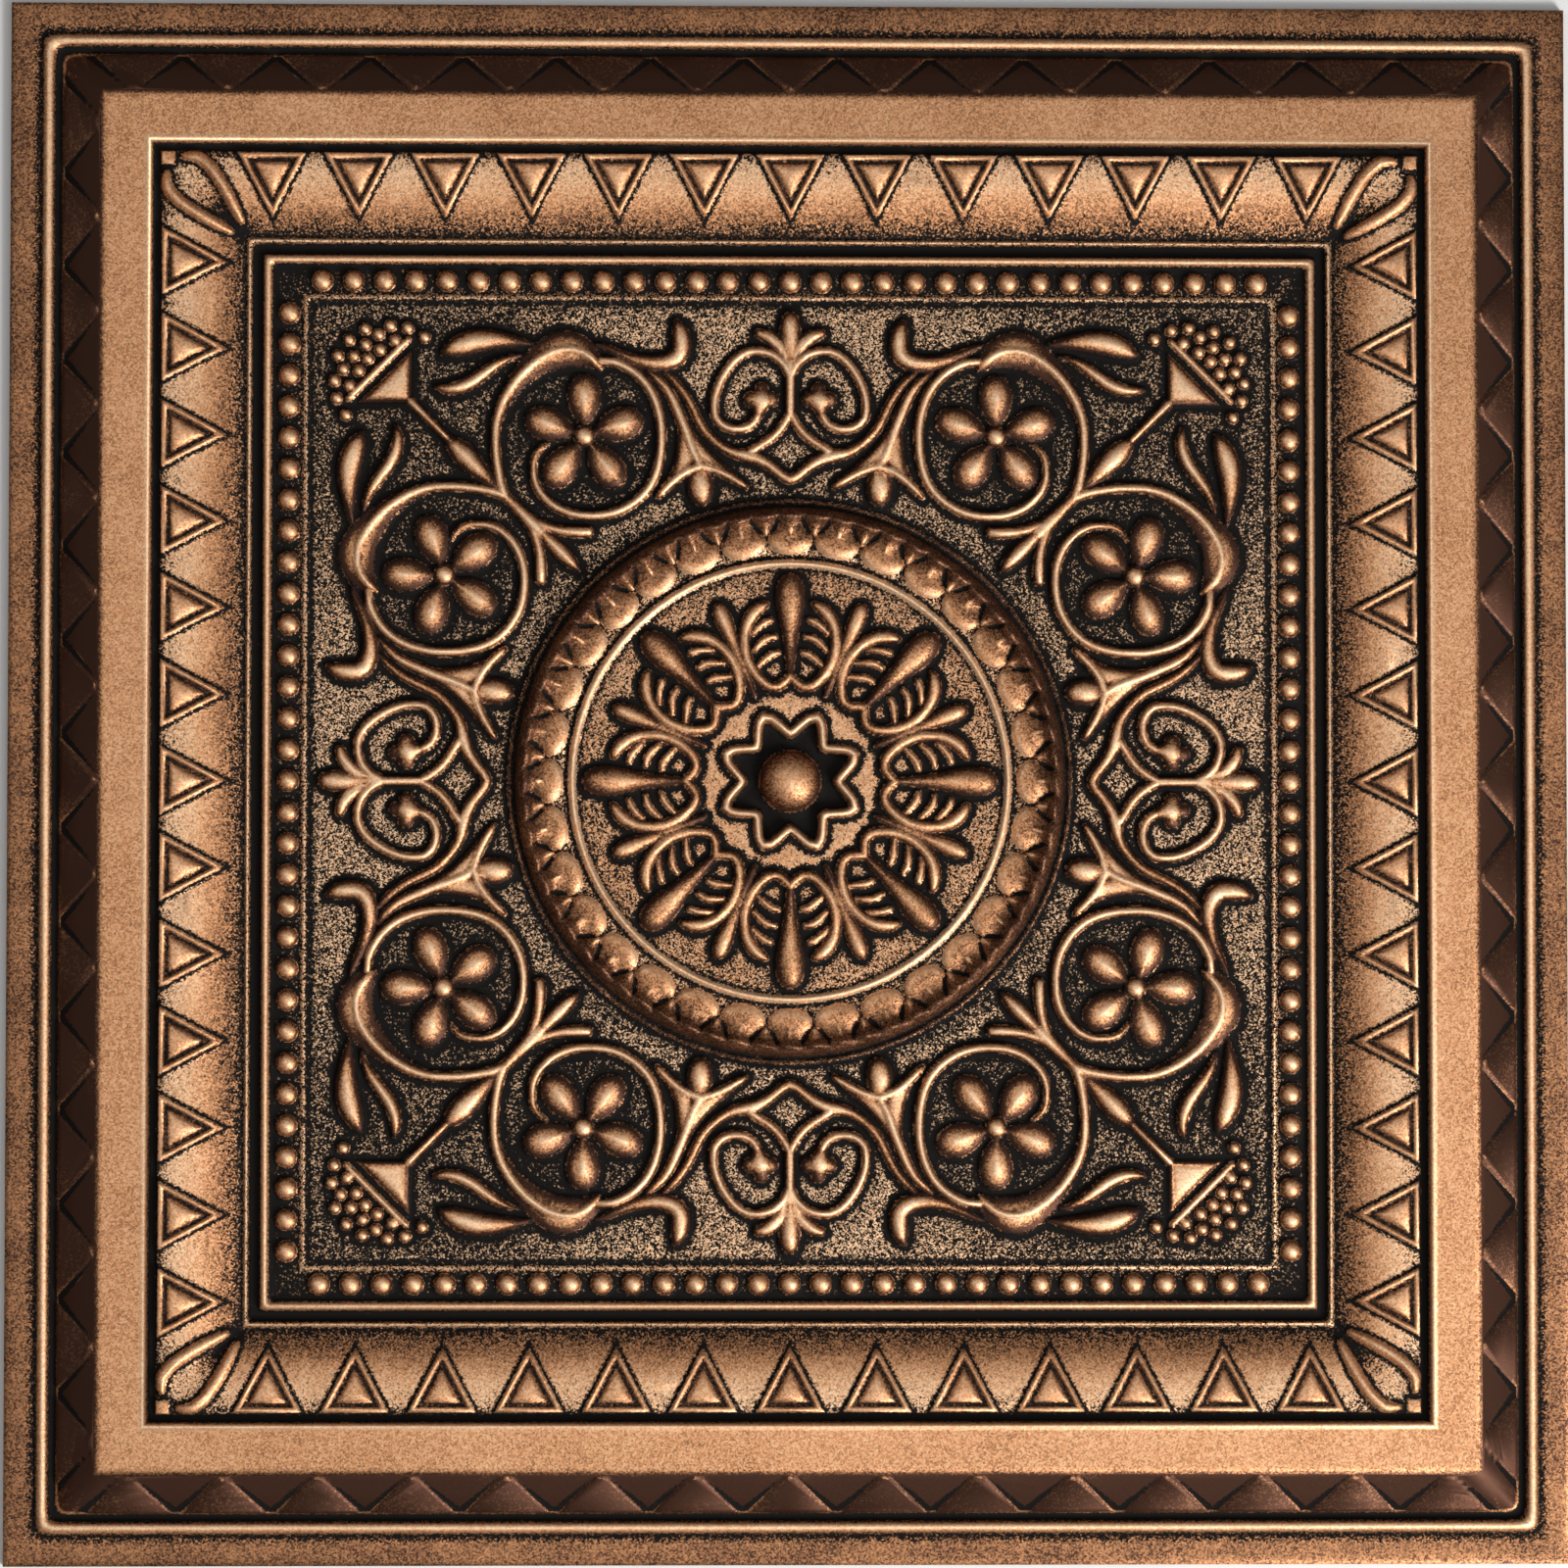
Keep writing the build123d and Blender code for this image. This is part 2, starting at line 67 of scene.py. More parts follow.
# Half-width and height, from the edge to the cove and from the cove to the panel.
SECTION = [
    (250.0, 2.9), (249.5, 3.4), (248.6, 3.7), (241.0, 3.8), (239.9, 3.5), (239.6, 4.6), (238.8, 5.6),
    (237.7, 6.0), (236.6, 5.6), (235.9, 4.6), (235.6, 3.0), (233.8, 2.9), (SLOPE_FOOT, 3.3),
    (SLOPE_TOP, 12.4), (219.0, 13.0), (206.2, 13.0), (205.3, 13.4), (204.7, 13.2), (204.2, 12.4),
    (203.5, 9.0), (201.7, 8.9), (COVE_OUTER, 10.2),
]
INNER_SECTION = [
    (COVE_INNER, COVE_FOOT), (174.4, 4.4), (174.0, 5.4), (173.3, 6.1), (172.6, 5.6), (172.0, 3.4),
    (169.4, 3.4), (168.9, 4.8), (168.2, 6.1), (167.4, 6.5), (166.6, 6.1), (165.9, 4.8), (165.5, 4.0),
    (156.6, 4.1), (156.1, 4.7), (155.3, 5.1), (154.6, 4.7), (154.0, 4.3), (152.8, 4.4),
    (151.5, FIELD_HEIGHT), (140.0, FIELD_HEIGHT),
]
# Half-width, the share of copper that it caught, and the tone of that copper from brown to bright.
# The tone holds painted light: the slope is painted dark brown as shade, the crests of the rail and the
# ridges are painted bright as highlights, the band's lip as highlight and rubbed paint, and the cove pale
# at its outer edge and browner as it falls inwards, as shade.
PAINT = [
    (250.0, 0.96, 0.24), (245.5, 0.94, 0.24), (243.6, 0.80, 0.25), (242.3, 0.50, 0.30), (241.2, 0.26, 0.32),
    (240.4, 0.12, 0.35), (239.8, 0.20, 0.40), (239.2, 0.72, 0.42), (238.5, 0.96, 0.60), (237.7, 1.00, 1.00),
    (236.9, 0.96, 0.75), (236.3, 0.70, 0.45), (235.8, 0.20, 0.30), (235.3, 0.00, 0.20), (233.7, 0.00, 0.10),
    (233.2, 0.80, 0.00), (231.8, 0.97, 0.00), (221.1, 0.97, 0.00), (219.9, 1.00, 0.15), (219.1, 1.00, 0.45),
    (217.8, 1.00, 0.52), (206.6, 1.00, 0.52), (205.5, 1.00, 0.85), (204.8, 1.00, 0.90), (204.3, 0.80, 0.60),
    (203.9, 0.35, 0.30), (203.4, 0.00, 0.20), (201.9, 0.00, 0.20), (201.0, 0.32, 0.80), (199.0, 0.56, 0.80),
    (195.0, 0.74, 0.80), (190.0, 0.80, 0.70), (185.0, 0.78, 0.48), (181.0, 0.66, 0.34), (178.0, 0.48, 0.34),
    (175.8, 0.26, 0.50), (174.6, 0.10, 0.50), (174.0, 0.45, 0.65), (173.3, 0.70, 0.85), (172.6, 0.45, 0.65),
    (172.0, 0.00, 0.30), (169.0, 0.00, 0.30), (168.5, 0.60, 0.45), (168.0, 0.95, 0.70), (167.4, 1.00, 0.95),
    (166.8, 0.95, 0.70), (166.3, 0.55, 0.45), (165.6, 0.00, 0.40), (163.0, 0.12, 0.70), (157.5, 0.16, 0.70),
    (156.4, 0.26, 0.70), (155.6, 0.50, 0.75), (154.9, 0.50, 0.75), (154.3, 0.12, 0.70), (153.2, 0.08, 0.70),
    (152.0, 0.30, 0.75), (150.0, 0.50, 0.75),
]


def ramp(value, low, high):
    """A smooth step: 0 below low, 1 above high, and an S-shaped curve between them."""
    t = np.clip((value - low) / (high - low), 0, 1)
    return t * t * (3 - 2 * t)


def cove_height(reach):
    """The cove is a bent band: flat at its outer edge and falling ever more steeply towards the middle."""
    t = np.clip((reach - COVE_INNER) / (COVE_OUTER - COVE_INNER), 0, 1)
    return COVE_FOOT + (COVE_TOP - COVE_FOOT) * (1 - (1 - t) ** 2.4)


def section_height(reach, softness=0.16):
    """Height of the frame at a half-width: the section's points joined by straight lines, then blurred
    with a bell curve, because moulding rounds every edge of the foam."""
    fine = np.arange(140.0, TILE_HALF + 1.0, 0.04)
    points = np.array((SECTION + INNER_SECTION)[::-1])
    raw = np.interp(fine, points[:, 0], points[:, 1])
    on_cove = (fine > COVE_INNER) & (fine < COVE_OUTER)
    raw[on_cove] = cove_height(fine[on_cove])
    spread = np.arange(-40, 41) * 0.04
    weight = np.exp(-0.5 * (spread / softness) ** 2)
    blurred = np.convolve(np.pad(raw, 40, mode="edge"), weight / weight.sum(), mode="valid")
    return np.interp(reach, fine, blurred)


lines = np.concatenate(
    [
        np.linspace(start, end, max(1, round((end - start) / step)), endpoint=False)
        for (start, step), (end, _) in zip(GRID_STEPS, GRID_STEPS[1:])
    ]
    + [[TILE_HALF]]
)
x, y = np.meshgrid(lines, lines, indexing="ij")
along_side = np.minimum(x, y)
mitre = np.maximum(x, y)
corner_round = OUTER_CORNER_ROUND * ramp(mitre, SLOPE_TOP, SLOPE_FOOT) * ramp(-mitre, -247.0, -240.0)
corner_round += INNER_CORNER_ROUND * ramp(-mitre, -176.0, -172.0) + NO_ROUND
reach = mitre + corner_round * np.log1p(np.exp(-(mitre - along_side) / corner_round))
height = section_height(reach)
paint_points = np.array(PAINT[::-1])
copper = np.interp(reach, paint_points[:, 0], paint_points[:, 1])
tone_and_painted_light = np.interp(reach, paint_points[:, 0], paint_points[:, 2])

# Teeth on the slope: flat triangles that stand a little proud, their bases on the groove and their tips
# at the band. They are pressed by the same mould, and the black wash stays in the creases beside them.
TOOTH_PITCH = 30.0
TOOTH_BASE = 25.4
TOOTH_RISE = 1.0
TOOTH_FLANK = 1.3
TOOTH_LAST = 7
TICK_WIDE, TICK_LONG = 0.8, 2.6
FOOT_TICK_WIDE = 4.2
CREASE_FOOT, CREASE_FALL = 2.8, 2.2
FLANK_HIGHLIGHT_TONE, TIP_HIGHLIGHT_TONE, FOOT_HIGHLIGHT_TONE, FOOT_COPPER = 0.1, 0.4, 0.5, 0.6
place = along_side / TOOTH_PITCH
across = np.abs(place - np.minimum(np.round(place), TOOTH_LAST)) * TOOTH_PITCH
up_slope = (SLOPE_FOOT - reach) / (SLOPE_FOOT - SLOPE_TOP)
tooth_lean = np.hypot(TOOTH_BASE / 2, SLOPE_FOOT - SLOPE_TOP) / (SLOPE_FOOT - SLOPE_TOP)
inside_tooth = (TOOTH_BASE / 2 * (1 - up_slope) - across) / tooth_lean
on_slope = ramp(reach, SLOPE_TOP, SLOPE_TOP + 0.8) * ramp(-reach, -SLOPE_FOOT, -SLOPE_FOOT + 0.5)
height += TOOTH_RISE * ramp(inside_tooth, -TOOTH_FLANK, 0.2) * on_slope
crease_wide = CREASE_FOOT - CREASE_FALL * up_slope
crease_near = ramp(inside_tooth, -TOOTH_FLANK - crease_wide, -TOOTH_FLANK - 0.6 * crease_wide)
crease = crease_near * ramp(-inside_tooth, 0.7 * TOOTH_FLANK, TOOTH_FLANK) * on_slope
copper = np.minimum(copper, 1 - crease * (1 - 0.5 * ramp(up_slope, 0.5, 1.0)))
# The flanks of each tooth are painted a little lighter as highlight, and bright ticks at the tips and feet
# are painted highlights; at the feet the ticks also hold copper.
flank = ramp(inside_tooth, -TOOTH_FLANK, -0.6 * TOOTH_FLANK) * ramp(-inside_tooth, -0.4, 0.2) * on_slope
tone_and_painted_light = np.maximum(tone_and_painted_light, FLANK_HIGHLIGHT_TONE * flank)
tip_across = ramp(-across, -TICK_WIDE, -TICK_WIDE / 2)
tip_highlight = tip_across * ramp(-reach, -SLOPE_TOP - TICK_LONG, -SLOPE_TOP - 0.6) * on_slope
foot_across = TOOTH_PITCH / 2 - across
foot_line = ramp(reach, SLOPE_FOOT - 1.1, SLOPE_FOOT - 0.5)
foot_line *= ramp(-reach, -SLOPE_FOOT - 0.3, -SLOPE_FOOT + 0.1)
foot_tick = ramp(-foot_across, -FOOT_TICK_WIDE / 2, -FOOT_TICK_WIDE / 4) * foot_line
tone_and_painted_light = np.maximum(tone_and_painted_light, np.maximum(TIP_HIGHLIGHT_TONE * tip_highlight, FOOT_HIGHLIGHT_TONE * foot_tick))
copper = np.maximum(copper, FOOT_COPPER * foot_tick)

# Triangles on the cove: a raised rim with a groove inside it and a raised middle, pointing at the panel.
# In each corner of the frame two curved ribs run beside the mitre towards a small square knob. All of it
# is pressed with the cove, and the wash stays in the grooves and along the outlines.
TRIANGLE_PITCH = 27.65
TRIANGLE_LAST = 6
TRIANGLE_BASE, TRIANGLE_LENGTH = 22.2, 21.0
TRIANGLE_START = 200.9
NOSE_START, NOSE_FULL = 178.5, 185.0
# Distance inside a triangle's edge, and how high the triangle stands there.
RIM_STEPS = [
    (-0.3, 0.0), (0.3, 1.0), (0.9, 1.4), (1.5, 1.0), (2.0, 0.0), (2.9, 0.0), (3.6, 0.8), (4.4, 1.2),
    (7.0, 1.4),
]
CORNER_RIB = [
    (193.8, 199.2, 0.9), (191.6, 199.5, 1.4), (189.0, 198.9, 1.7), (185.6, 196.1, 1.7), (182.9, 192.2, 1.7),
    (180.3, 187.9, 1.7), (178.0, 183.5, 1.5), (175.9, 179.2, 0.9),
]
TRIANGLE_RISE, CORNER_RIB_RISE = 1.4, 2.0
COVE_SHADE_TONE, COVE_HIGHLIGHT_GAIN = 0.08, 0.62
KNOB_PLACE, KNOB_HALF, KNOB_RISE = 199.0, 2.3, 0.7
FAR = 9.0
FLANK = 0.5


def smooth_run(knots, steps=6):
    """A Catmull-Rom curve through the knots, each of which holds x, y and the half-width there."""
    k = np.asarray(knots, float)
    padded = np.vstack([2 * k[0] - k[1], k, 2 * k[-1] - k[-2]])
    before, start, end, after = padded[:-3], padded[1:-2], padded[2:-1], padded[3:]
    t = np.linspace(0, 1, steps, endpoint=False)[:, None, None]
    run = 0.5 * (
        2 * start
        + (end - before) * t
        + (2 * before - 5 * start + 4 * end - after) * t**2
        + (3 * start - before - 3 * end + after) * t**3
    )
    return np.vstack([run.transpose(1, 0, 2).reshape(-1, 3), k[-1]])


def strand(x, y, knots, rise, shape=0.8, thin=0.6):
    """A raised strand along a smooth run. With q the distance to the run over its half-width, the height is
    rise times (1 - q squared) to the power of shape, lowered where the run is thinner than its widest place.
    The half-width takes in the flank, which stands out a little beyond the part that catches paint.
    The second result is the distance to the strand's edge, negative inside it."""
    high = np.zeros(x.shape)
    away = np.full(x.shape, FAR)
    run = smooth_run(knots) + [0, 0, FLANK]
    widest = run[:, 2].max()
    for (ax, ay, aw), (bx, by, bw) in zip(run[:-1], run[1:]):
        margin = max(aw, bw) + 5.0
        near = np.nonzero(
            (x > min(ax, bx) - margin) & (x < max(ax, bx) + margin)
            & (y > min(ay, by) - margin) & (y < max(ay, by) + margin)
        )
        px, py = x[near] - ax, y[near] - ay
        dx, dy = bx - ax, by - ay
        t = np.clip((px * dx + py * dy) / (dx * dx + dy * dy + 1e-9), 0, 1)
        distance = np.hypot(px - t * dx, py - t * dy)
        width = np.maximum(aw + t * (bw - aw), 0.05)
        dome = np.clip(1 - (distance / width) ** 2, 0, 1) ** shape
        high[near] = np.maximum(high[near], rise * (width / widest) ** thin * dome)
        away[near] = np.minimum(away[near], distance - width)
    return high, away


def mirrored_strand(x, y, knots, rise, **kind):
    """A strand and its mirror image about the diagonal."""
    high, away = strand(x, y, knots, rise, **kind)
    high_over, away_over = strand(y, x, knots, rise, **kind)
    return np.maximum(high, high_over), np.minimum(away, away_over)


place = along_side / TRIANGLE_PITCH
across = np.abs(place - np.minimum(np.round(place), TRIANGLE_LAST)) * TRIANGLE_PITCH
inwards = TRIANGLE_START - mitre
side_length = np.hypot(TRIANGLE_BASE / 2, TRIANGLE_LENGTH)
inside_sides = (TRIANGLE_BASE / 2 * (1 - inwards / TRIANGLE_LENGTH) - across) * TRIANGLE_LENGTH / side_length
inside_triangle = np.minimum(inside_sides, inwards)
on_cove = (mitre < COVE_OUTER + 0.2) & (mitre > COVE_INNER)
steps = np.array(RIM_STEPS)
nose = ramp(mitre, NOSE_START, NOSE_FULL)
triangle_rise = np.interp(inside_triangle, steps[:, 0], steps[:, 1]) * nose
height += np.where(on_cove, triangle_rise, 0)
rib_rise, rib_away = mirrored_strand(x, y, CORNER_RIB, CORNER_RIB_RISE)
knob_away = np.maximum(np.abs(x - KNOB_PLACE), np.abs(y - KNOB_PLACE)) - KNOB_HALF
knob_rise = KNOB_RISE * ramp(-knob_away, -0.3, 0.5)
height += np.where(on_cove, rib_rise + knob_rise, 0)
cove_gap = np.minimum(np.minimum(-inside_triangle, rib_away), knob_away)
outline = np.where(cove_gap > 0, ramp(cove_gap, 0.2, 1.8), ramp(-cove_gap, 0.0, 0.6))
in_groove = ramp(inside_triangle, 1.4, 2.0) * ramp(-inside_triangle, -3.7, -2.9)
valley = ramp(along_side, 170.0, 176.0) * ramp(-np.abs(x - y), -9.0, -3.0) * ramp(-mitre, -190.0, -181.0)
corner_ground = ramp(along_side, 176.0, 182.0) * (rib_away > 0)
cove_copper = np.where(cove_gap > 0, copper * outline * (1 - 0.2 * corner_ground), 0.25 + 0.75 * outline)
cove_copper = cove_copper * (1 - 0.7 * in_groove) * (1 - 0.9 * valley * (rib_away > 0))
copper = np.where(on_cove, cove_copper, copper)
# The raised tops of the triangles, ribs and knobs are painted pale as highlight, their lower parts brown as
# shade.
rib_share = np.maximum(rib_rise / CORNER_RIB_RISE, knob_rise)
cove_crest = np.clip(np.maximum(triangle_rise / TRIANGLE_RISE, rib_share), 0, 1)
tone_and_painted_light = np.where(on_cove & (cove_gap < 0), COVE_SHADE_TONE + COVE_HIGHLIGHT_GAIN * cove_crest, tone_and_painted_light)

# The bead border: a row of half-round beads in a shallow channel round the panel, none in the corners.
# The beads are pressed with the tile, and their tops catch the copper; they are painted pale on top as a
# highlight and brown down their sides as shade.
BEAD_ROW = 160.4
BEAD_PITCH = 10.0
BEAD_LAST = 15
BEAD_RADIUS, BEAD_RISE = 3.6, 3.1
BEAD_HIGHLIGHT_TONE = 0.9
CHANNEL_START = 156.6
place = along_side / BEAD_PITCH
across = np.abs(place - np.minimum(np.round(place), BEAD_LAST)) * BEAD_PITCH
bead_away = np.hypot(across, mitre - BEAD_ROW) - BEAD_RADIUS
bead_dome = np.sqrt(np.clip(1 - ((bead_away + BEAD_RADIUS) / BEAD_RADIUS) ** 2, 0, 1))
height += BEAD_RISE * bead_dome
beside_bead = np.where(mitre > CHANNEL_START, ramp(bead_away, 0.2, 1.6), 1)
copper = np.where(bead_away < 0, ramp(bead_dome, 0.06, 0.42), copper * beside_bead)
tone_and_painted_light = np.where(bead_away < 0, BEAD_HIGHLIGHT_TONE * bead_dome**2.4, tone_and_painted_light)

# The scrolled panel: strands, leaves, buds and a five-petalled flower in each eighth, raised from a flat
# ground and moulded with the tile. Each strand is a list of x, y and half-width, between the middle line
# at x = 0 and the diagonal at x = y.
STRAND_RISE = 2.7
LEAF_RISE, WIDE_CREST = 1.15 * STRAND_RISE, 0.82 * STRAND_RISE
BELL_RISE, CRESCENT_RISE, CUP_RIM_RISE = 0.75 * STRAND_RISE, 0.72 * STRAND_RISE, 0.7 * STRAND_RISE
STRAND_SHADE_TONE, STRAND_HIGHLIGHT_GAIN = 0.03, 0.97
MIDDLE_BUD = [
    (0, 129.5, 1.5), (0, 134, 2.0), (0, 138, 2.6), (0, 142, 3.3), (0, 146, 3.5), (0, 148.6, 2.4),
    (0, 150.2, 0.7),
]
MIDDLE_PETAL = [
    (0.8, 133.6, 1.3), (2.3, 137.8, 1.8), (4.4, 140.8, 2.1), (7.2, 142.9, 2.0), (10.0, 143.8, 1.4),
]
MIDDLE_LINE = [(0, 134.0, 1.4), (0, 128.0, 1.4), (0, 122.0, 1.4), (0, 118.0, 1.3)]
SPIRAL = [
    (0.6, 131.0, 1.3), (2.2, 134.2, 1.3), (5.0, 136.6, 1.3), (8.4, 137.9, 1.3), (11.8, 138.2, 1.3),
    (15.2, 137.0, 1.3), (18.2, 134.6, 1.3), (20.8, 131.2, 1.3), (22.8, 127.4, 1.3), (24.1, 123.4, 1.3),
    (24.5, 120.0, 1.3), (24.0, 117.0, 1.3), (22.6, 114.9, 1.3), (20.2, 113.5, 1.3), (17.0, 112.9, 1.3),
    (14.0, 113.6, 1.25), (11.8, 115.0, 1.2), (10.4, 117.2, 1.2),
]
SPIRAL_BUD = [(10.4, 117.2, 1.3), (9.8, 119.6, 2.2), (9.4, 121.6, 2.8)]
SPIRAL_LOBES = [(9.4, 122.2, 3.9), (6.3, 122.6, 2.9), (12.5, 122.6, 2.9), (9.1, 126.0, 2.6)]
DIAMOND = [
    (0, 118.4, 1.3), (1.6, 115.4, 1.3), (3.8, 112.3, 1.3), (6.6, 109.7, 1.3), (9.6, 107.8, 1.3),
    (12.6, 105.8, 1.5),
]
LOWER_STRAND = [
    (0, 96.8, 1.5), (2.5, 98.0, 1.5), (5.0, 100.1, 1.5), (8.0, 102.3, 1.7), (11.0, 103.7, 1.9),
    (14.0, 104.5, 2.0), (17.0, 105.1, 1.7), (20.0, 106.2, 1.4), (23.0, 108.1, 1.3), (26.0, 110.7, 1.3),
    (28.3, 113.7, 1.3), (30.0, 117.0, 1.3), (31.5, 120.3, 1.25), (33.2, 123.4, 1.2),
    (35.2, 126.3, 1.15), (37.6, 129.0, 1.0), (40.2, 131.2, 0.5),
]
BELL_STEM = [
    (45.5, 131.4, 0.5), (42.7, 129.3, 1.0), (40.0, 126.5, 1.3), (37.9, 123.0, 1.5), (36.3, 119.4, 1.6),
    (34.9, 116.0, 1.7), (33.5, 112.5, 1.7), (32.3, 109.0, 1.7), (31.0, 105.5, 1.7), (29.7, 103.0, 1.6),
    (28.6, 101.2, 1.5),
]
BELL_SIDES = [
    [
        (33.2, 113.5, 1.3), (31.2, 109.0, 2.0), (28.4, 105.0, 2.4), (24.5, 101.8, 1.9),
        (19.5, 98.7, 1.1), (16.5, 96.9, 0.5),
    ],
    [
        (34.4, 114.5, 1.5), (33.8, 109.5, 2.3), (33.5, 105.2, 3.0), (34.2, 101.4, 3.0),
        (36.6, 97.6, 2.2), (39.8, 93.4, 0.8),
    ],
]
BELL_LEFT_ARM = [
    (28.6, 101.2, 1.4), (25.5, 100.4, 1.3), (22.0, 99.0, 1.3), (18.5, 97.2, 1.2), (16.0, 95.7, 1.1),
    (14.1, 94.5, 0.6),
]
BELL_RIGHT_ARM = [
    (28.8, 101.0, 1.4), (32.0, 99.9, 1.4), (35.3, 98.0, 1.4), (38.2, 95.6, 1.3), (40.6, 93.2, 1.2),
    (42.4, 91.2, 0.6),
]
BELL_BUD = [
    (28.6, 101.0, 1.4), (28.7, 98.0, 3.2), (28.7, 95.3, 4.4), (28.6, 93.0, 4.2), (28.4, 91.0, 3.0),
    (28.3, 89.3, 0.9),
]
INNER_RING = [
    (60.3, 134.9, 1.3), (56.5, 134.5, 1.4), (52.5, 132.8, 1.4), (48.7, 130.2, 1.4), (45.7, 126.7, 1.4),
    (43.5, 122.5, 1.4), (42.1, 118.0, 1.4), (41.3, 113.0, 1.4), (41.3, 108.0, 1.4), (41.8, 103.5, 1.4),
    (42.8, 99.3, 1.4), (44.6, 95.2, 1.4), (47.2, 91.8, 1.4), (50.8, 88.8, 1.4), (55.2, 86.5, 1.4),
    (60.0, 85.3, 1.4), (64.5, 85.0, 1.4), (69.0, 85.5, 1.4), (73.0, 86.8, 1.35), (76.6, 88.8, 1.3),
    (79.6, 91.7, 1.25), (81.5, 95.2, 1.2), (82.3, 99.0, 1.1), (82.0, 102.8, 1.0), (80.5, 106.0, 0.8),
    (77.6, 108.4, 0.4),
]
OUTER_RING = [
    (91.4, 91.4, 1.5), (92.6, 95.0, 1.5), (93.4, 98.6, 1.5), (94.0, 102.5, 1.5), (94.4, 106.5, 1.5),
    (94.5, 110.4, 1.5), (94.2, 114.2, 1.5), (93.3, 118.2, 1.5), (91.7, 122.2, 1.6), (89.4, 126.2, 1.6),
    (86.5, 130.0, 1.6), (83.0, 133.4, 1.6), (79.0, 136.2, 1.6), (74.8, 138.1, 1.6), (70.6, 138.6, 1.6),
    (66.6, 137.6, 1.5), (63.6, 135.6, 1.4), (61.2, 132.9, 1.0),
]
CRESCENT = [
    (61.0, 132.6, 0.8), (63.6, 135.6, 3.2), (68.0, 138.0, 5.3), (73.0, 138.6, 6.1), (78.2, 136.5, 5.4),
    (83.0, 132.8, 4.3), (87.3, 128.2, 3.2), (90.8, 122.6, 2.3), (93.2, 116.6, 1.7),
]
HOOK_LEAF = [
    (36.6, 147.6, 0.8), (35.4, 144.6, 2.5), (34.9, 141.4, 3.1), (35.0, 138.4, 3.1), (36.6, 135.9, 3.0),
    (39.6, 134.5, 2.8), (43.2, 134.1, 2.5), (47.0, 134.6, 2.1), (51.0, 135.7, 1.7), (55.0, 137.3, 1.4),
    (58.5, 139.0, 1.0), (61.8, 140.2, 0.4),
]
FAT_LEAF = [
    (82.6, 140.3, 0.4), (86.5, 140.9, 1.4), (91.0, 141.3, 2.5), (96.0, 141.5, 3.4), (100.5, 141.2, 3.9),
    (104.5, 140.1, 3.8), (108.0, 138.7, 2.9), (111.2, 137.2, 0.9),
]
SLIM_LEAF = [
    (86.6, 136.6, 0.4), (90.0, 135.6, 1.0), (94.0, 133.6, 1.6), (98.0, 130.8, 2.0), (102.0, 128.0, 2.2),
    (106.0, 126.2, 2.1), (110.0, 125.6, 1.6), (113.6, 126.1, 0.4),
]
TRUNK = [(79.5, 79.6, 2.1), (82.5, 82.7, 2.3), (86.0, 86.3, 1.7), (89.5, 89.7, 1.5), (92.4, 92.5, 1.7)]
TRUNK_LEAF = [
    (67.8, 67.8, 0.5), (70.0, 70.0, 1.9), (73.0, 73.0, 2.6), (76.0, 76.0, 2.3), (79.0, 79.0, 1.7),
    (81.5, 81.5, 1.8),
]
TRUNK_SIDE = [
    (64.6, 79.9, 1.7), (67.5, 79.8, 1.8), (70.5, 79.9, 1.7), (73.8, 80.3, 1.5), (77.2, 81.2, 1.4),
    (80.6, 82.5, 1.4),
]
TRUNK_BUD = [
    (92.5, 92.5, 1.3), (95.0, 95.0, 1.5), (98.0, 98.0, 2.4), (101.0, 101.0, 3.4), (104.0, 104.0, 3.9),
    (106.8, 106.8, 3.2), (109.0, 109.0, 1.6), (110.6, 110.6, 0.9),
]
THISTLE_STEM = [(110.0, 110.0, 1.0), (115.5, 115.5, 1.0), (121.4, 121.4, 1.4)]
THISTLE_RIM = [(122.3, 141.6, 0.7), (125.5, 138.5, 0.95), (128.7, 135.3, 0.95), (132.0, 132.0, 0.95)]
THISTLE_CORNER, THISTLE_SUM = 120.9, 260.0
THISTLE_RISE = 2.1
GRAPES = [
    (117.2, 142.3), (122.6, 145.2), (128.2, 146.0), (136.2, 144.9), (131.9, 143.1), (126.6, 141.1),
    (136.1, 139.8), (131.4, 138.2), (141.4, 141.4), (135.3, 135.3),
]
GRAPE_RADIUS, GRAPE_RISE = 2.2, 2.2
LOBE_RISE = 3.1
FLOWER_PLACE = (66.0, 110.7)
FLOWER_ANGLES = [90, 18, -54, -126, 162]
# Distance from the flower's middle and half-width, of a petal and of the rib along it.
PETAL = [(4.0, 1.0), (7.0, 3.2), (10.0, 4.8), (12.8, 5.5), (14.8, 5.0), (16.2, 3.8)]
PETAL_RIB = [(4.0, 0.9), (9.0, 2.4), (13.0, 3.1), (16.0, 2.0)]
PETAL_RISE = 2.9
FLOWER_BALL_RADIUS, FLOWER_BALL_RISE = 3.7, 3.4
OPEN_GROUND, CORNER_GROUND = 0.42, 0.25
GROUND_TONE = 0.88
MEDALLION_EDGE = 90.5
FLOWER_GROUND, FLOWER_GROUND_RADIUS = 0.6, 26.0
GROUND_DIP = 0.3
FIELD_REACH = 156.0

n_field = int((lines < FIELD_REACH).sum())
fx, fy = x[:n_field, :n_field], y[:n_field, :n_field]
field_rise = np.zeros(fx.shape)
field_gap = np.full(fx.shape, FAR)
field_share = np.zeros(fx.shape)


def add_to_field(high, away, rise):
    """Keeps the higher of two reliefs, the smaller distance to an edge, and how near its crest each
    place is, as its height over the full rise."""
    higher = high > field_rise
    field_share[higher] = np.clip(high[higher] / rise, 0, 1)
    np.maximum(field_rise, high, out=field_rise)
    np.minimum(field_gap, away, out=field_gap)


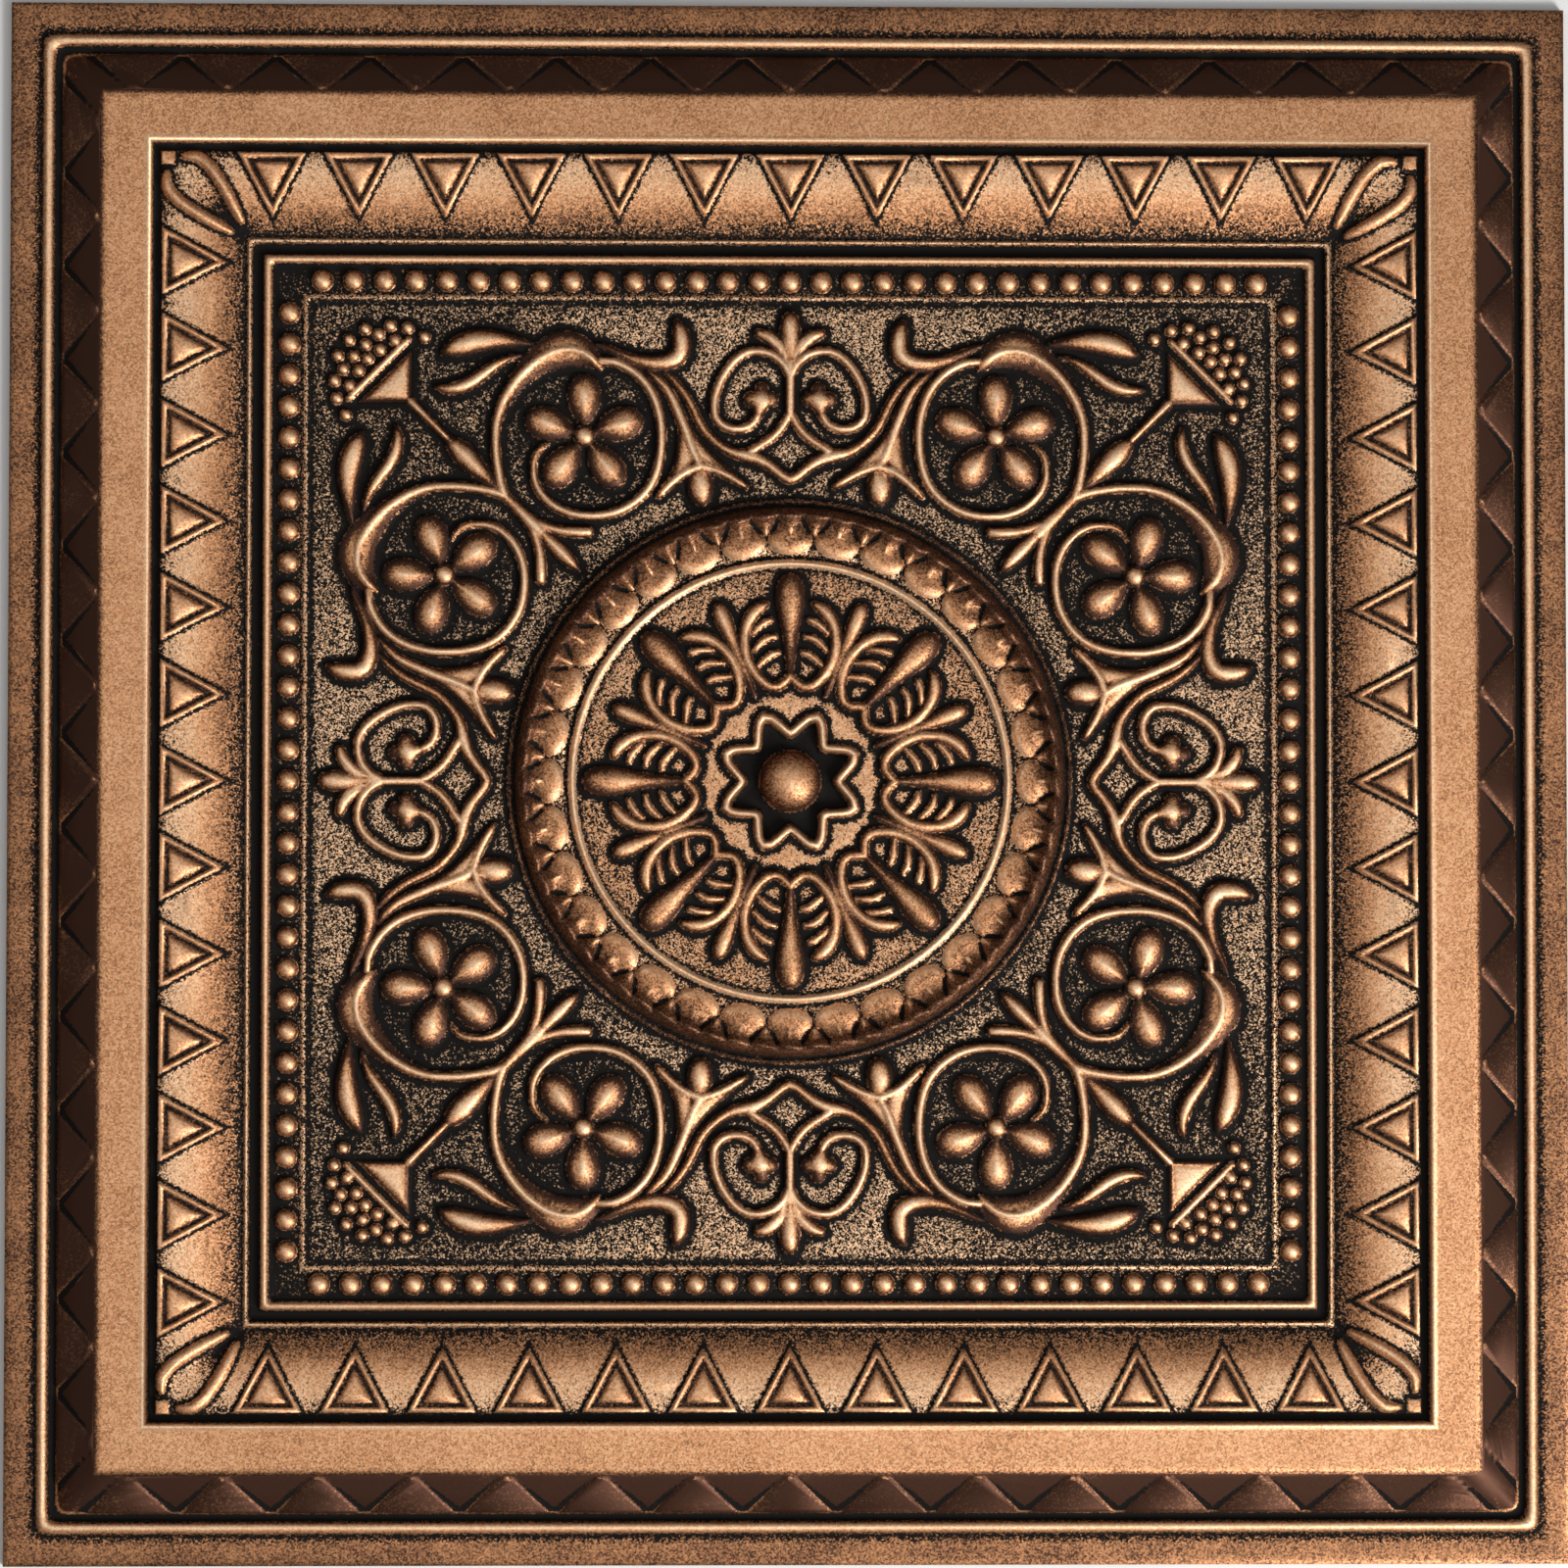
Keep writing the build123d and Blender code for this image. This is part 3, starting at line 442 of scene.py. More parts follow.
plain_strands = [
    MIDDLE_PETAL, MIDDLE_LINE, SPIRAL, DIAMOND, LOWER_STRAND, BELL_STEM, BELL_LEFT_ARM, BELL_RIGHT_ARM,
    INNER_RING, OUTER_RING, TRUNK, TRUNK_SIDE, THISTLE_STEM,
]
for knots in plain_strands:
    add_to_field(*mirrored_strand(fx, fy, knots, STRAND_RISE), STRAND_RISE)
for knots in [MIDDLE_BUD, HOOK_LEAF, FAT_LEAF, SLIM_LEAF, TRUNK_LEAF, TRUNK_BUD, BELL_BUD, SPIRAL_BUD]:
    add_to_field(*mirrored_strand(fx, fy, knots, LEAF_RISE, shape=0.9), LEAF_RISE)
for knots in BELL_SIDES:
    add_to_field(*mirrored_strand(fx, fy, knots, BELL_RISE, shape=0.8), WIDE_CREST)
add_to_field(*mirrored_strand(fx, fy, CRESCENT, CRESCENT_RISE, shape=0.7), WIDE_CREST)
add_to_field(*mirrored_strand(fx, fy, THISTLE_RIM, CUP_RIM_RISE), CUP_RIM_RISE)

cup_away = np.maximum(THISTLE_CORNER - np.minimum(fx, fy), (fx + fy - THISTLE_SUM) / np.sqrt(2))
cup_rise = THISTLE_RISE * (1 - np.exp(np.minimum(cup_away, 0) / 1.2))
add_to_field(cup_rise, cup_away, THISTLE_RISE)
grapes = [(gx, gy, GRAPE_RADIUS, GRAPE_RISE, GRAPE_RISE) for gx, gy in GRAPES]
lobes = [(gx, gy, r, LOBE_RISE * r / SPIRAL_LOBES[0][2], LOBE_RISE) for gx, gy, r in SPIRAL_LOBES]
for gx, gy, ball_radius, ball_rise, full_rise in grapes + lobes:
    for distance in (np.hypot(fx - gx, fy - gy), np.hypot(fy - gx, fx - gy)):
        dome = np.sqrt(np.clip(1 - (distance / ball_radius) ** 2, 0, 1))
        add_to_field(ball_rise * dome, np.minimum(distance - ball_radius, FAR), full_rise)

flower_x, flower_y = FLOWER_PLACE
for angle in np.radians(FLOWER_ANGLES):
    petal = [(flower_x + r * np.cos(angle), flower_y + r * np.sin(angle), w) for r, w in PETAL]
    add_to_field(*mirrored_strand(fx, fy, petal, 0.88 * PETAL_RISE, shape=0.65), PETAL_RISE)
    rib = [(flower_x + r * np.cos(angle), flower_y + r * np.sin(angle), w) for r, w in PETAL_RIB]
    add_to_field(*mirrored_strand(fx, fy, rib, PETAL_RISE, shape=0.9), PETAL_RISE)
for distance in (np.hypot(fx - flower_x, fy - flower_y), np.hypot(fy - flower_x, fx - flower_y)):
    dome = np.sqrt(np.clip(1 - (distance / FLOWER_BALL_RADIUS) ** 2, 0, 1))
    add_to_field(FLOWER_BALL_RISE * dome, np.minimum(distance - FLOWER_BALL_RADIUS, FAR), FLOWER_BALL_RISE)

# The medallion: a swelling ring of eggs and darts round a dish with a rosette of drops, loops and a star.
# It is moulded with the panel and repeats every eighth of a turn, so its angle is folded to the half-eighth
# between a drop and the next bud.
# Radius and height, then radius and the share of copper caught, from the rim to the middle.
MEDALLION_SECTION = [
    (91.2, FIELD_HEIGHT), (90.7, 4.4), (90.2, 5.3), (89.8, 5.6), (89.4, 5.3), (88.9, 4.4), (88.5, 4.3),
    (88.1, 5.0), (87.3, 8.0), (86.5, 9.2), (85.3, 9.6), (84.0, 9.4), (83.0, 7.4), (72.4, 7.3),
    (71.6, 7.3), (71.0, 8.0), (70.4, 9.2), (69.7, 9.6), (69.0, 9.2), (68.4, 8.0), (67.9, 7.7),
    (67.0, 8.0), (0.0, 8.0),
]
MEDALLION_COVERAGE = [
    (94.0, 0.3), (91.0, 0.0), (90.5, 0.3), (89.8, 0.75), (89.2, 0.2), (88.7, 0.0), (88.2, 0.2),
    (87.6, 0.9), (86.2, 1.0), (84.8, 1.0), (84.0, 0.3), (83.2, 0.1), (76.0, 0.2), (73.0, 0.42),
    (71.9, 0.1), (71.5, 0.0), (71.0, 0.5), (70.6, 1.0), (68.8, 1.0), (68.4, 0.4), (68.0, 0.1),
    (67.0, 0.38), (65.5, 0.48), (45.0, 0.52), (30.0, 0.74), (0.0, 0.85),
]
MEDALLION_REACH = 92.5
DISH_EDGE, DISH_TONE = 68.0, 0.62
RING_PLACE, RING_HALF, RING_HIGHLIGHT_TONE = 69.7, 1.3, 0.9
EGG_PLACE, EGG_LONG, EGG_WIDE, EGG_RISE = 77.7, 5.3, 7.2, 1.8
EGG_END = 83.0
LANCET_WIDE = 2.6
DART_BASE, DART_TIP, DART_RISE = 85.6, 79.3, 2.2
EGG_TONE, EGG_SHADE_FALL, EGG_LIP_HIGHLIGHT, DART_HIGHLIGHT_TONE = 0.32, 0.2, 0.4, 0.9
# Radius and half-width, along the middle line of a drop and of a bud.
DROP = [
    (33.0, 0.9), (36.0, 1.2), (40.0, 1.7), (45.0, 2.3), (50.0, 3.1), (54.0, 4.0), (58.4, 4.8),
    (61.4, 4.4), (63.4, 3.0), (64.3, 1.0),
]
DROP_RISE = 3.2
BUD = [
    (29.6, 0.5), (32.0, 0.8), (36.0, 1.1), (40.0, 1.4), (44.0, 1.4), (48.0, 1.7), (52.0, 2.3),
    (55.5, 2.7), (58.5, 2.4), (60.4, 1.0),
]
# Angle in degrees, radius and half-width, of the loops, the ribs in them and the star.
LOOP = [
    (0.0, 33.6, 1.2), (2.5, 32.1, 1.3), (5.5, 30.9, 1.3), (8.5, 30.4, 1.3), (11.5, 30.8, 1.35),
    (14.3, 32.0, 1.45), (16.7, 34.0, 1.5), (18.4, 36.6, 1.6), (19.2, 39.4, 1.6), (19.4, 42.2, 1.6),
    (18.9, 45.2, 1.6), (17.8, 48.2, 1.6), (16.3, 50.8, 1.7), (14.2, 53.3, 1.9), (11.7, 55.3, 1.9),
    (9.4, 56.5, 1.5), (7.7, 57.1, 0.8),
]
RIBS = [
    [(7.0, 51.9, 0.8), (9.5, 51.2, 0.9), (12.0, 50.0, 0.8), (14.2, 48.6, 0.5)],
    [(6.0, 46.5, 0.7), (9.0, 46.3, 0.95), (12.0, 45.2, 0.9), (15.2, 43.4, 0.6)],
    [(5.4, 41.3, 0.7), (8.0, 41.0, 0.95), (11.0, 40.0, 0.9), (15.4, 38.3, 0.6)],
]
LOOP_RISE, RIB_RISE = 2.5, 1.7
STAR = [(0.0, 15.3, 1.3), (5.6, 16.2, 1.3), (11.25, 18.4, 1.3), (16.9, 20.9, 1.3), (22.5, 22.2, 1.4)]
STAR_RISE = 1.9
STAR_WELL_DEPTH = 2.6
BALL_RADIUS, BALL_RISE = 10.2, 5.4
BALL_SHADE_TONE, BALL_HIGHLIGHT_GAIN = 0.05, 0.65


def polar(knots):
    """Knots given as an angle in degrees, a radius and a half-width, turned to x, y and half-width."""
    return [(r * np.cos(np.radians(a)), r * np.sin(np.radians(a)), w) for a, r, w in knots]


n_medal = int((lines < MEDALLION_REACH).sum())
mx, my = x[:n_medal, :n_medal], y[:n_medal, :n_medal]
radius = np.hypot(mx, my)
angle = np.arctan2(my, mx)
eighth = np.pi / 4
folded = np.abs(angle - eighth * np.round(angle / eighth))
u, v = radius * np.cos(folded), radius * np.sin(folded)
points = np.array(MEDALLION_SECTION[::-1])
medal_height = np.interp(radius, points[:, 0], points[:, 1])
points = np.array(MEDALLION_COVERAGE[::-1])
medal_copper = np.interp(radius, points[:, 0], points[:, 1])

egg_turn = np.pi / 16
egg_across = radius * np.abs(angle - egg_turn * np.round(angle / egg_turn))
egg_q = np.hypot(egg_across / EGG_WIDE, np.minimum(radius - EGG_PLACE, 0) / EGG_LONG)
egg_dome = np.clip(1 - egg_q**4, 0, 1) ** 0.5
egg_rise = EGG_RISE * egg_dome * (1 - 0.7 * ramp(radius, EGG_PLACE - 2.0, EGG_END))
dart_turn = np.pi / 32
dart_number = np.round(angle / dart_turn)
dart_across = radius * np.abs(angle - dart_turn * dart_number)
dart_reach = np.clip((radius - DART_TIP) / (DART_BASE - DART_TIP), 0, 1)
dart_half = radius * dart_turn / 2 * dart_reach + 0.5
dart_near = np.clip(1 - dart_across / dart_half, 0, 1) * ramp(radius, DART_TIP - 0.6, DART_TIP + 0.3)
dart_dome = dart_near**0.6 * ramp(-radius, -86.2, -85.3)
egg_dart = np.maximum(egg_rise, DART_RISE * dart_dome)
between = radius * egg_turn / 2 - egg_across
beside_dart = between - dart_half
lancet_span = ramp(radius, DART_TIP - 1.0, DART_TIP + 1.0)
lancet_span *= ramp(-radius, -DART_BASE + 0.3, -DART_BASE + 1.2)
lancet = ramp(beside_dart, -0.3, 0.3) * ramp(-beside_dart, -LANCET_WIDE, -LANCET_WIDE / 2) * lancet_span
medal_height += (egg_dart - 0.9 * lancet * (dart_dome < 0.1)) * ramp(radius, 71.8, 73.0)
dart_copper = ramp(dart_dome, 0.1, 0.5)
egg_copper = ramp(egg_dome, 0.1, 0.45) * (1 - lancet) * ramp(-radius, -DART_BASE - 0.4, -DART_BASE)
medal_copper = np.maximum(medal_copper * (1 - lancet), np.maximum(egg_copper, dart_copper))
# The eggs are painted browner towards the rim as shade and paler at their inner lips as highlight, and the
# dart tips are painted bright as highlights.
lit_egg_lip = ramp(egg_q, 0.5, 0.85) * ramp(-radius, -EGG_PLACE, -EGG_PLACE + 2.0)
egg_painted_light_tone = EGG_TONE - EGG_SHADE_FALL * ramp(radius, EGG_PLACE, DART_BASE) + EGG_LIP_HIGHLIGHT * lit_egg_lip
dart_tip_highlight = ramp(-radius, -DART_TIP - 3.0, -DART_TIP - 0.8) * ramp(dart_dome, 0.3, 0.9)
egg_highlight_and_shade = np.maximum(egg_painted_light_tone, DART_HIGHLIGHT_TONE * dart_tip_highlight)

rosette_rise = np.zeros(radius.shape)
rosette_gap = np.full(radius.shape, FAR)
rosette_share = np.zeros(radius.shape)
rosette_highlight_tone = np.zeros(radius.shape)
# The knots, the rise, the power of the crest's curve and the tone at the crest, painted there as a highlight.
rosette = [
    ([(r, 0.0, w) for r, w in DROP], DROP_RISE, 0.85, 0.85),
    (polar([(22.5, r, w) for r, w in BUD]), LOOP_RISE, 0.85, 0.7),
    (polar(LOOP), LOOP_RISE, 0.8, 0.72),
    *[(polar(rib), RIB_RISE, 0.8, 0.7) for rib in RIBS],
    (polar(STAR), STAR_RISE, 0.8, 0.95),
]
for knots, rise, shape, crest_highlight_tone in rosette:
    high, away = strand(u, v, knots, rise, shape=shape)
    higher = high > rosette_rise
    rosette_share[higher] = np.clip(high[higher] / rise, 0, 1)
    rosette_highlight_tone[higher] = crest_highlight_tone
    rosette_rise = np.maximum(rosette_rise, high)
    rosette_gap = np.minimum(rosette_gap, away)
star_run = smooth_run(polar(STAR))
star_turn = np.arctan2(star_run[:, 1], star_run[:, 0])
star_edge = np.interp(folded, star_turn, np.hypot(star_run[:, 0], star_run[:, 1]))
well = ramp(star_edge - radius, 0.3, 3.2)
ball_dome = np.sqrt(np.clip(1 - (radius / BALL_RADIUS) ** 2, 0, 1))
in_dish = radius < DISH_EDGE
dish_relief = rosette_rise - STAR_WELL_DEPTH * well
ball_relief = (BALL_RISE + STAR_WELL_DEPTH) * ball_dome - STAR_WELL_DEPTH
dish_relief = np.maximum(dish_relief, np.where(radius < BALL_RADIUS, ball_relief, -FAR))
dish_relief -= GROUND_DIP * (1 - ramp(rosette_gap, 0.3, 2.2)) * (rosette_gap > 0)
medal_height += np.where(in_dish, dish_relief, 0)
dish_ground = medal_copper * ramp(rosette_gap, 0.9, 2.8)
dish_copper = np.where(rosette_gap > 0, dish_ground, ramp(rosette_share, 0.08, 0.5))
dish_copper = np.where((radius < star_edge - 1.2) & (rosette_gap > 0), 0.0, dish_copper)
dish_copper = np.where(radius < BALL_RADIUS, ramp(ball_dome, 0.08, 0.4), dish_copper)
medal_copper = np.where(in_dish, dish_copper, medal_copper)
# The crests are painted pale as highlights and the flanks brown as shade; the wide outer end of each drop is
# darker.
drop_bulb = ramp(u, 50.0, 60.0) * ramp(-v, -6.5, -5.0)
rosette_highlight_and_shade = (0.04 + rosette_highlight_tone * ramp(rosette_share, 0.5, 1.0)) * (1 - 0.55 * drop_bulb)
medal_tone_and_painted_light = np.where(in_dish, np.where(rosette_gap < 0, rosette_highlight_and_shade, DISH_TONE), egg_highlight_and_shade)
# The ball is painted pale on top as a highlight and brown down its sides as shade.
medal_tone_and_painted_light = np.where(radius < BALL_RADIUS, BALL_SHADE_TONE + BALL_HIGHLIGHT_GAIN * ball_dome**3, medal_tone_and_painted_light)
# The ring's crest is painted bright as a highlight.
medal_tone_and_painted_light = np.where(np.abs(radius - RING_PLACE) < RING_HALF, RING_HIGHLIGHT_TONE, medal_tone_and_painted_light)

# The panel and the medallion join the frame: the ground dips and stays black close to every raised edge.
# It catches less copper in the corners, inside the flower rings and beside the medallion.
field_gap = np.minimum(field_gap, np.hypot(fx, fy) - MEDALLION_EDGE)
field_ground = ramp(field_gap, 0.5, 2.6)
in_field = np.maximum(fx, fy) < FIELD_HALF - 0.6
dip = GROUND_DIP * (1 - ramp(field_gap, 0.4, 2.6)) * (field_gap > 0)
height[:n_field, :n_field] += np.where(in_field, field_rise - dip, 0)
open_ground = OPEN_GROUND + (CORNER_GROUND - OPEN_GROUND) * ramp(np.minimum(fx, fy), 20.0, 110.0)
from_flower = np.minimum(np.hypot(fx - flower_x, fy - flower_y), np.hypot(fy - flower_x, fx - flower_y))
off_flower = ramp(from_flower, FLOWER_GROUND_RADIUS - 4.0, FLOWER_GROUND_RADIUS)
open_ground *= FLOWER_GROUND + (1 - FLOWER_GROUND) * off_flower
open_ground *= 0.75 + 0.25 * ramp(np.hypot(fx, fy), 92.0, 100.0)
edge_copper = np.minimum(copper[:n_field, :n_field], open_ground)
field_copper = np.where(field_gap > 0, edge_copper * field_ground, ramp(field_share, 0.12, 0.65))
# Strands, leaves, buds and petals are painted pale along the crest as a highlight and brown on the flanks as
# shade; the open ground keeps its flecked tone.
strand_highlight_and_shade = STRAND_SHADE_TONE + STRAND_HIGHLIGHT_GAIN * ramp(field_share, 0.55, 1.05)
field_tone_and_painted_light = np.where(field_gap > 0, GROUND_TONE, strand_highlight_and_shade)
copper[:n_field, :n_field] = np.where(in_field, field_copper, copper[:n_field, :n_field])
tone_and_painted_light[:n_field, :n_field] = np.where(in_field, field_tone_and_painted_light, tone_and_painted_light[:n_field, :n_field])
on_medal = radius < MEDALLION_EDGE + 0.1
height[:n_medal, :n_medal] = np.where(on_medal, medal_height, height[:n_medal, :n_medal])
copper[:n_medal, :n_medal] = np.where(on_medal, medal_copper, copper[:n_medal, :n_medal])
tone_and_painted_light[:n_medal, :n_medal] = np.where(on_medal, medal_tone_and_painted_light, tone_and_painted_light[:n_medal, :n_medal])

# The skin: the height map over one eighth of the face, thinned where it is flat, mirrored to eight and
# welded, with straight sides down to the flat back. Foam tiles of this kind are pressed in one mould.
TRIANGLES_PER_EIGHTH = 23500
PAINT_WEIGHT = 0.9


def mesh_of(name, points, triangles):
    """A mesh from arrays of points in metres and of corner numbers."""
    mesh = bpy.data.meshes.new(name)
    mesh.vertices.add(len(points))
    mesh.vertices.foreach_set("co", np.asarray(points, np.float32).ravel())
    mesh.loops.add(3 * len(triangles))
    mesh.loops.foreach_set("vertex_index", np.asarray(triangles, np.int32).ravel())
    mesh.polygons.add(len(triangles))
    mesh.polygons.foreach_set("loop_start", np.arange(0, 3 * len(triangles), 3, dtype=np.int32))
    mesh.update(calc_edges=True)
    return mesh


def rim_edges(triangles):
    """The directed edges that only one triangle has."""
    edges = np.vstack([triangles[:, [0, 1]], triangles[:, [1, 2]], triangles[:, [2, 0]]])
    _, first, count = np.unique(np.sort(edges, axis=1), axis=0, return_index=True, return_counts=True)
    return edges[first[count == 1]]


def thinned(points, triangles, wanted):
    """The same surface with about the wanted number of triangles, kept where it bends most."""
    mesh = mesh_of("eighth_dense", points * MM, triangles)
    dense = bpy.data.objects.new("eighth_dense", mesh)
    bpy.context.scene.collection.objects.link(dense)
    thin = dense.modifiers.new("thin", "DECIMATE")
    thin.ratio = wanted / len(triangles)
    thin.use_collapse_triangulate = True
    result = bpy.data.meshes.new_from_object(dense.evaluated_get(bpy.context.evaluated_depsgraph_get()))
    co = np.empty(3 * len(result.vertices), np.float32)
    result.vertices.foreach_get("co", co)
    corners = np.empty(len(result.loops), np.int32)
    result.loops.foreach_get("vertex_index", corners)
    bpy.data.objects.remove(dense)
    bpy.data.meshes.remove(mesh)
    bpy.data.meshes.remove(result)
    return co.reshape(-1, 3).astype(float) / MM, corners.reshape(-1, 3)


def read_map(values, px, py):
    """A map's value at any place: straight-line interpolation between the grid's lines."""
    i = np.clip(np.searchsorted(lines, px) - 1, 0, len(lines) - 2)
    j = np.clip(np.searchsorted(lines, py) - 1, 0, len(lines) - 2)
    s = np.clip((px - lines[i]) / (lines[i + 1] - lines[i]), 0, 1)
    t = np.clip((py - lines[j]) / (lines[j + 1] - lines[j]), 0, 1)
    low = values[i, j] * (1 - s) + values[i + 1, j] * s
    high = values[i, j + 1] * (1 - s) + values[i + 1, j + 1] * s
    return low * (1 - t) + high * t


n = len(lines)
number = np.arange(n * n).reshape(n, n)
i, j = np.meshgrid(np.arange(n - 1), np.arange(n - 1), indexing="ij")
here, right, across_cell, up = number[i, j], number[i + 1, j], number[i + 1, j + 1], number[i, j + 1]
upper = np.stack([here, across_cell, up], -1)[j >= i]
lower = np.stack([here, right, across_cell], -1)[j > i]
triangles = np.vstack([upper, lower])
used, triangles = np.unique(triangles, return_inverse=True)
triangles = triangles.reshape(-1, 3)
guide = height + PAINT_WEIGHT * (copper + 0.5 * tone_and_painted_light)
points = np.stack([x.ravel()[used], y.ravel()[used], guide.ravel()[used]], -1)
points, triangles = thinned(points, triangles, TRIANGLES_PER_EIGHTH)
rim = np.unique(rim_edges(triangles))
px, py = points[rim, 0], points[rim, 1]
to_axis, to_diagonal, to_edge = np.abs(px), np.abs(px - py) / np.sqrt(2), np.abs(TILE_HALF - py)
nearest = np.minimum(np.minimum(to_axis, to_diagonal), to_edge) + 1e-3
px = np.where(to_axis <= nearest, 0.0, px)
py = np.where(to_edge <= nearest, TILE_HALF, py)
px = np.where(to_diagonal <= nearest, py, px)
points[rim, 0], points[rim, 1] = px, py
points[:, 2] = read_map(height, points[:, 0], points[:, 1])

all_points, all_triangles = [], []
for swap in (False, True):
    for sign_x in (1, -1):
        for sign_y in (1, -1):
            mirrored = points[:, [1, 0, 2]] if swap else points
            mirrored = mirrored * [sign_x, sign_y, 1]
            turned = (sign_x * sign_y < 0) != swap
            wound = triangles[:, ::-1] if turned else triangles
            all_triangles.append(wound + len(all_points) * len(points))
            all_points.append(mirrored)
face_points, face_triangles = np.vstack(all_points), np.vstack(all_triangles)
_, first, merged = np.unique(np.round(face_points, 3), axis=0, return_index=True, return_inverse=True)
face_points = face_points[first]
face_triangles = merged.reshape(-1)[face_triangles]

rim = rim_edges(face_triangles)
rim_points, rim_number = np.unique(rim, return_inverse=True)
rim_number = rim_number.reshape(-1, 2)
n_face, n_rim = len(face_points), len(rim_points)
foot_points = face_points[rim_points] * [1, 1, 0]
top_row = n_face + rim_number
foot_row = n_face + n_rim + rim_number
back_row = n_face + 2 * n_rim + rim_number
back_middle = n_face + 3 * n_rim
sides = np.vstack(
    [
        np.stack([top_row[:, 1], top_row[:, 0], foot_row[:, 0]], -1),
        np.stack([top_row[:, 1], foot_row[:, 0], foot_row[:, 1]], -1),
    ]
)
back = np.stack([back_row[:, 1], back_row[:, 0], np.full(len(rim), back_middle)], -1)
skin_points = np.vstack([face_points, face_points[rim_points], foot_points, foot_points, [[0, 0, 0]]])
skin_triangles = np.vstack([face_triangles, sides, back])
skin_mesh = mesh_of("ceiling_tile_skin", skin_points * MM, skin_triangles)
skin = bpy.data.objects.new("ceiling_tile_skin", skin_mesh)
bpy.context.scene.collection.objects.link(skin)
smooth = np.zeros(len(skin_triangles), bool)
smooth[: len(face_triangles)] = True
skin_mesh.polygons.foreach_set("use_smooth", smooth)

folded_x, folded_y = np.abs(skin_points[:, 0]), np.abs(skin_points[:, 1])
for name, values in [("copper", copper), ("tone_and_painted_light", tone_and_painted_light)]:
    layer = skin_mesh.attributes.new(name, "FLOAT", "POINT")
    layer.data.foreach_set("value", read_map(values, folded_x, folded_y).astype(np.float32))

FACE_SHARE = 0.9
SPARE_START, BACK_SHARE = 0.93, 0.06
corners = skin_triangles.ravel()
plan = (skin_points[corners, :2] / (2 * TILE_HALF) + 0.5) * FACE_SHARE
kind = np.repeat(np.arange(3), [3 * len(face_triangles), 3 * len(sides), 3 * len(back)])
turn_round = (np.arctan2(skin_points[corners, 1], skin_points[corners, 0]) / (2 * np.pi) + 0.5) * 0.98 + 0.01
side_uv = np.stack([turn_round, SPARE_START + 0.01 * skin_points[corners, 2] / 3.0], -1)
back_uv = np.stack([SPARE_START + plan[:, 0] * BACK_SHARE, plan[:, 1] * BACK_SHARE], -1)
uv = np.where((kind == 0)[:, None], plan, np.where((kind == 1)[:, None], side_uv, back_uv))
skin_mesh.uv_layers.new(name="OFBake").data.foreach_set("uv", uv.astype(np.float32).ravel())
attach(skin, "root")
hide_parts("ceiling_tile")

# The finish: black wash left in the hollows, then copper metal paint rolled over the high parts, so that the
# coverage map says how much copper a place caught and a fine grain breaks its edge into speckle.
# The tone map paints light into the copper: brown stands for shade on slopes and flanks, pale copper for
# highlights on crests and for the pale flecks of the ground.
COPPER = (0.69, 0.33, 0.153, 1)
COPPER_PALE_AND_HIGHLIGHT = (0.98, 0.67, 0.42, 1)
COPPER_BROWN_AND_SHADE = (0.082, 0.0375, 0.024, 1)
BLACK_WASH = (0.0078, 0.0065, 0.0057, 1)
BARE_FOAM = (0.8, 0.79, 0.77, 1)
FLECK_SIZE, LUMP_SIZE, FLAKE_SIZE, CLOUD_SIZE = 0.00045, 0.0012, 0.0005, 0.02
FLECK_SHARE, LUMP_SHARE = 0.76, 0.24
METAL_SHARE = 0.85
WASH_ROUGH, COPPER_ROUGH = 0.7, 0.5
SHEEN = 0.08

paint = bpy.data.materials.new("antique_copper_paint")
paint.use_nodes = True
nodes, links = paint.node_tree.nodes, paint.node_tree.links
shader = nodes["Principled BSDF"]


def node(kind, **settings):
    """A node with its settings; a setting whose name is an input sets that input's value."""
    made = nodes.new(kind)
    for name, value in settings.items():
        if name in made.inputs:
            made.inputs[name].default_value = value
        else:
            setattr(made, name, value)
    return made


def join(output, target):
    """One link from an output to an input."""
    links.new(output, target)


def scaled(source, low, high, to_low=0.0, to_high=1.0):
    """Maps a value from one range to another, clipped at both ends."""
    made = node("ShaderNodeMapRange")
    for position, value in zip((1, 2, 3, 4), (low, high, to_low, to_high)):
        made.inputs[position].default_value = value
    join(source, made.inputs[0])
    return made.outputs[0]


def maths(operation, first, second):
    """One sum on two sources or numbers."""
    made = node("ShaderNodeMath", operation=operation)
    for socket, value in zip(made.inputs, (first, second)):
        if isinstance(value, (int, float)):
            socket.default_value = value
        else:
            join(value, socket)
    return made.outputs[0]


def mixed(share, first, second):
    """A blend of two colours by a share from 0 to 1."""
    made = node("ShaderNodeMix", data_type="RGBA")
    join(share, made.inputs["Factor"])
    for socket, value in zip((made.inputs[6], made.inputs[7]), (first, second)):
        if isinstance(value, tuple):
            socket.default_value = value
        else:
            join(value, socket)
    return made.outputs[2]


coordinates = node("ShaderNodeTexCoord")


def grain(size, detail=2.0, rough=0.55):
    """Cloudy grain whose lumps are about the given size in metres."""
    made = node("ShaderNodeTexNoise", Scale=1 / size, Detail=detail, Roughness=rough)
    join(coordinates.outputs["Object"], made.inputs["Vector"])
    return made.outputs["Fac"]


def flecks(size):
    """Small cells of about the given size in metres, each with its own random number from 0 to 1."""
    made = node("ShaderNodeTexVoronoi", Scale=1 / size)
    join(coordinates.outputs["Object"], made.inputs["Vector"])
    parts = node("ShaderNodeSeparateColor")
    join(made.outputs["Color"], parts.inputs[0])
    return parts.outputs[0]


caught = node("ShaderNodeAttribute", attribute_name="copper").outputs["Fac"]
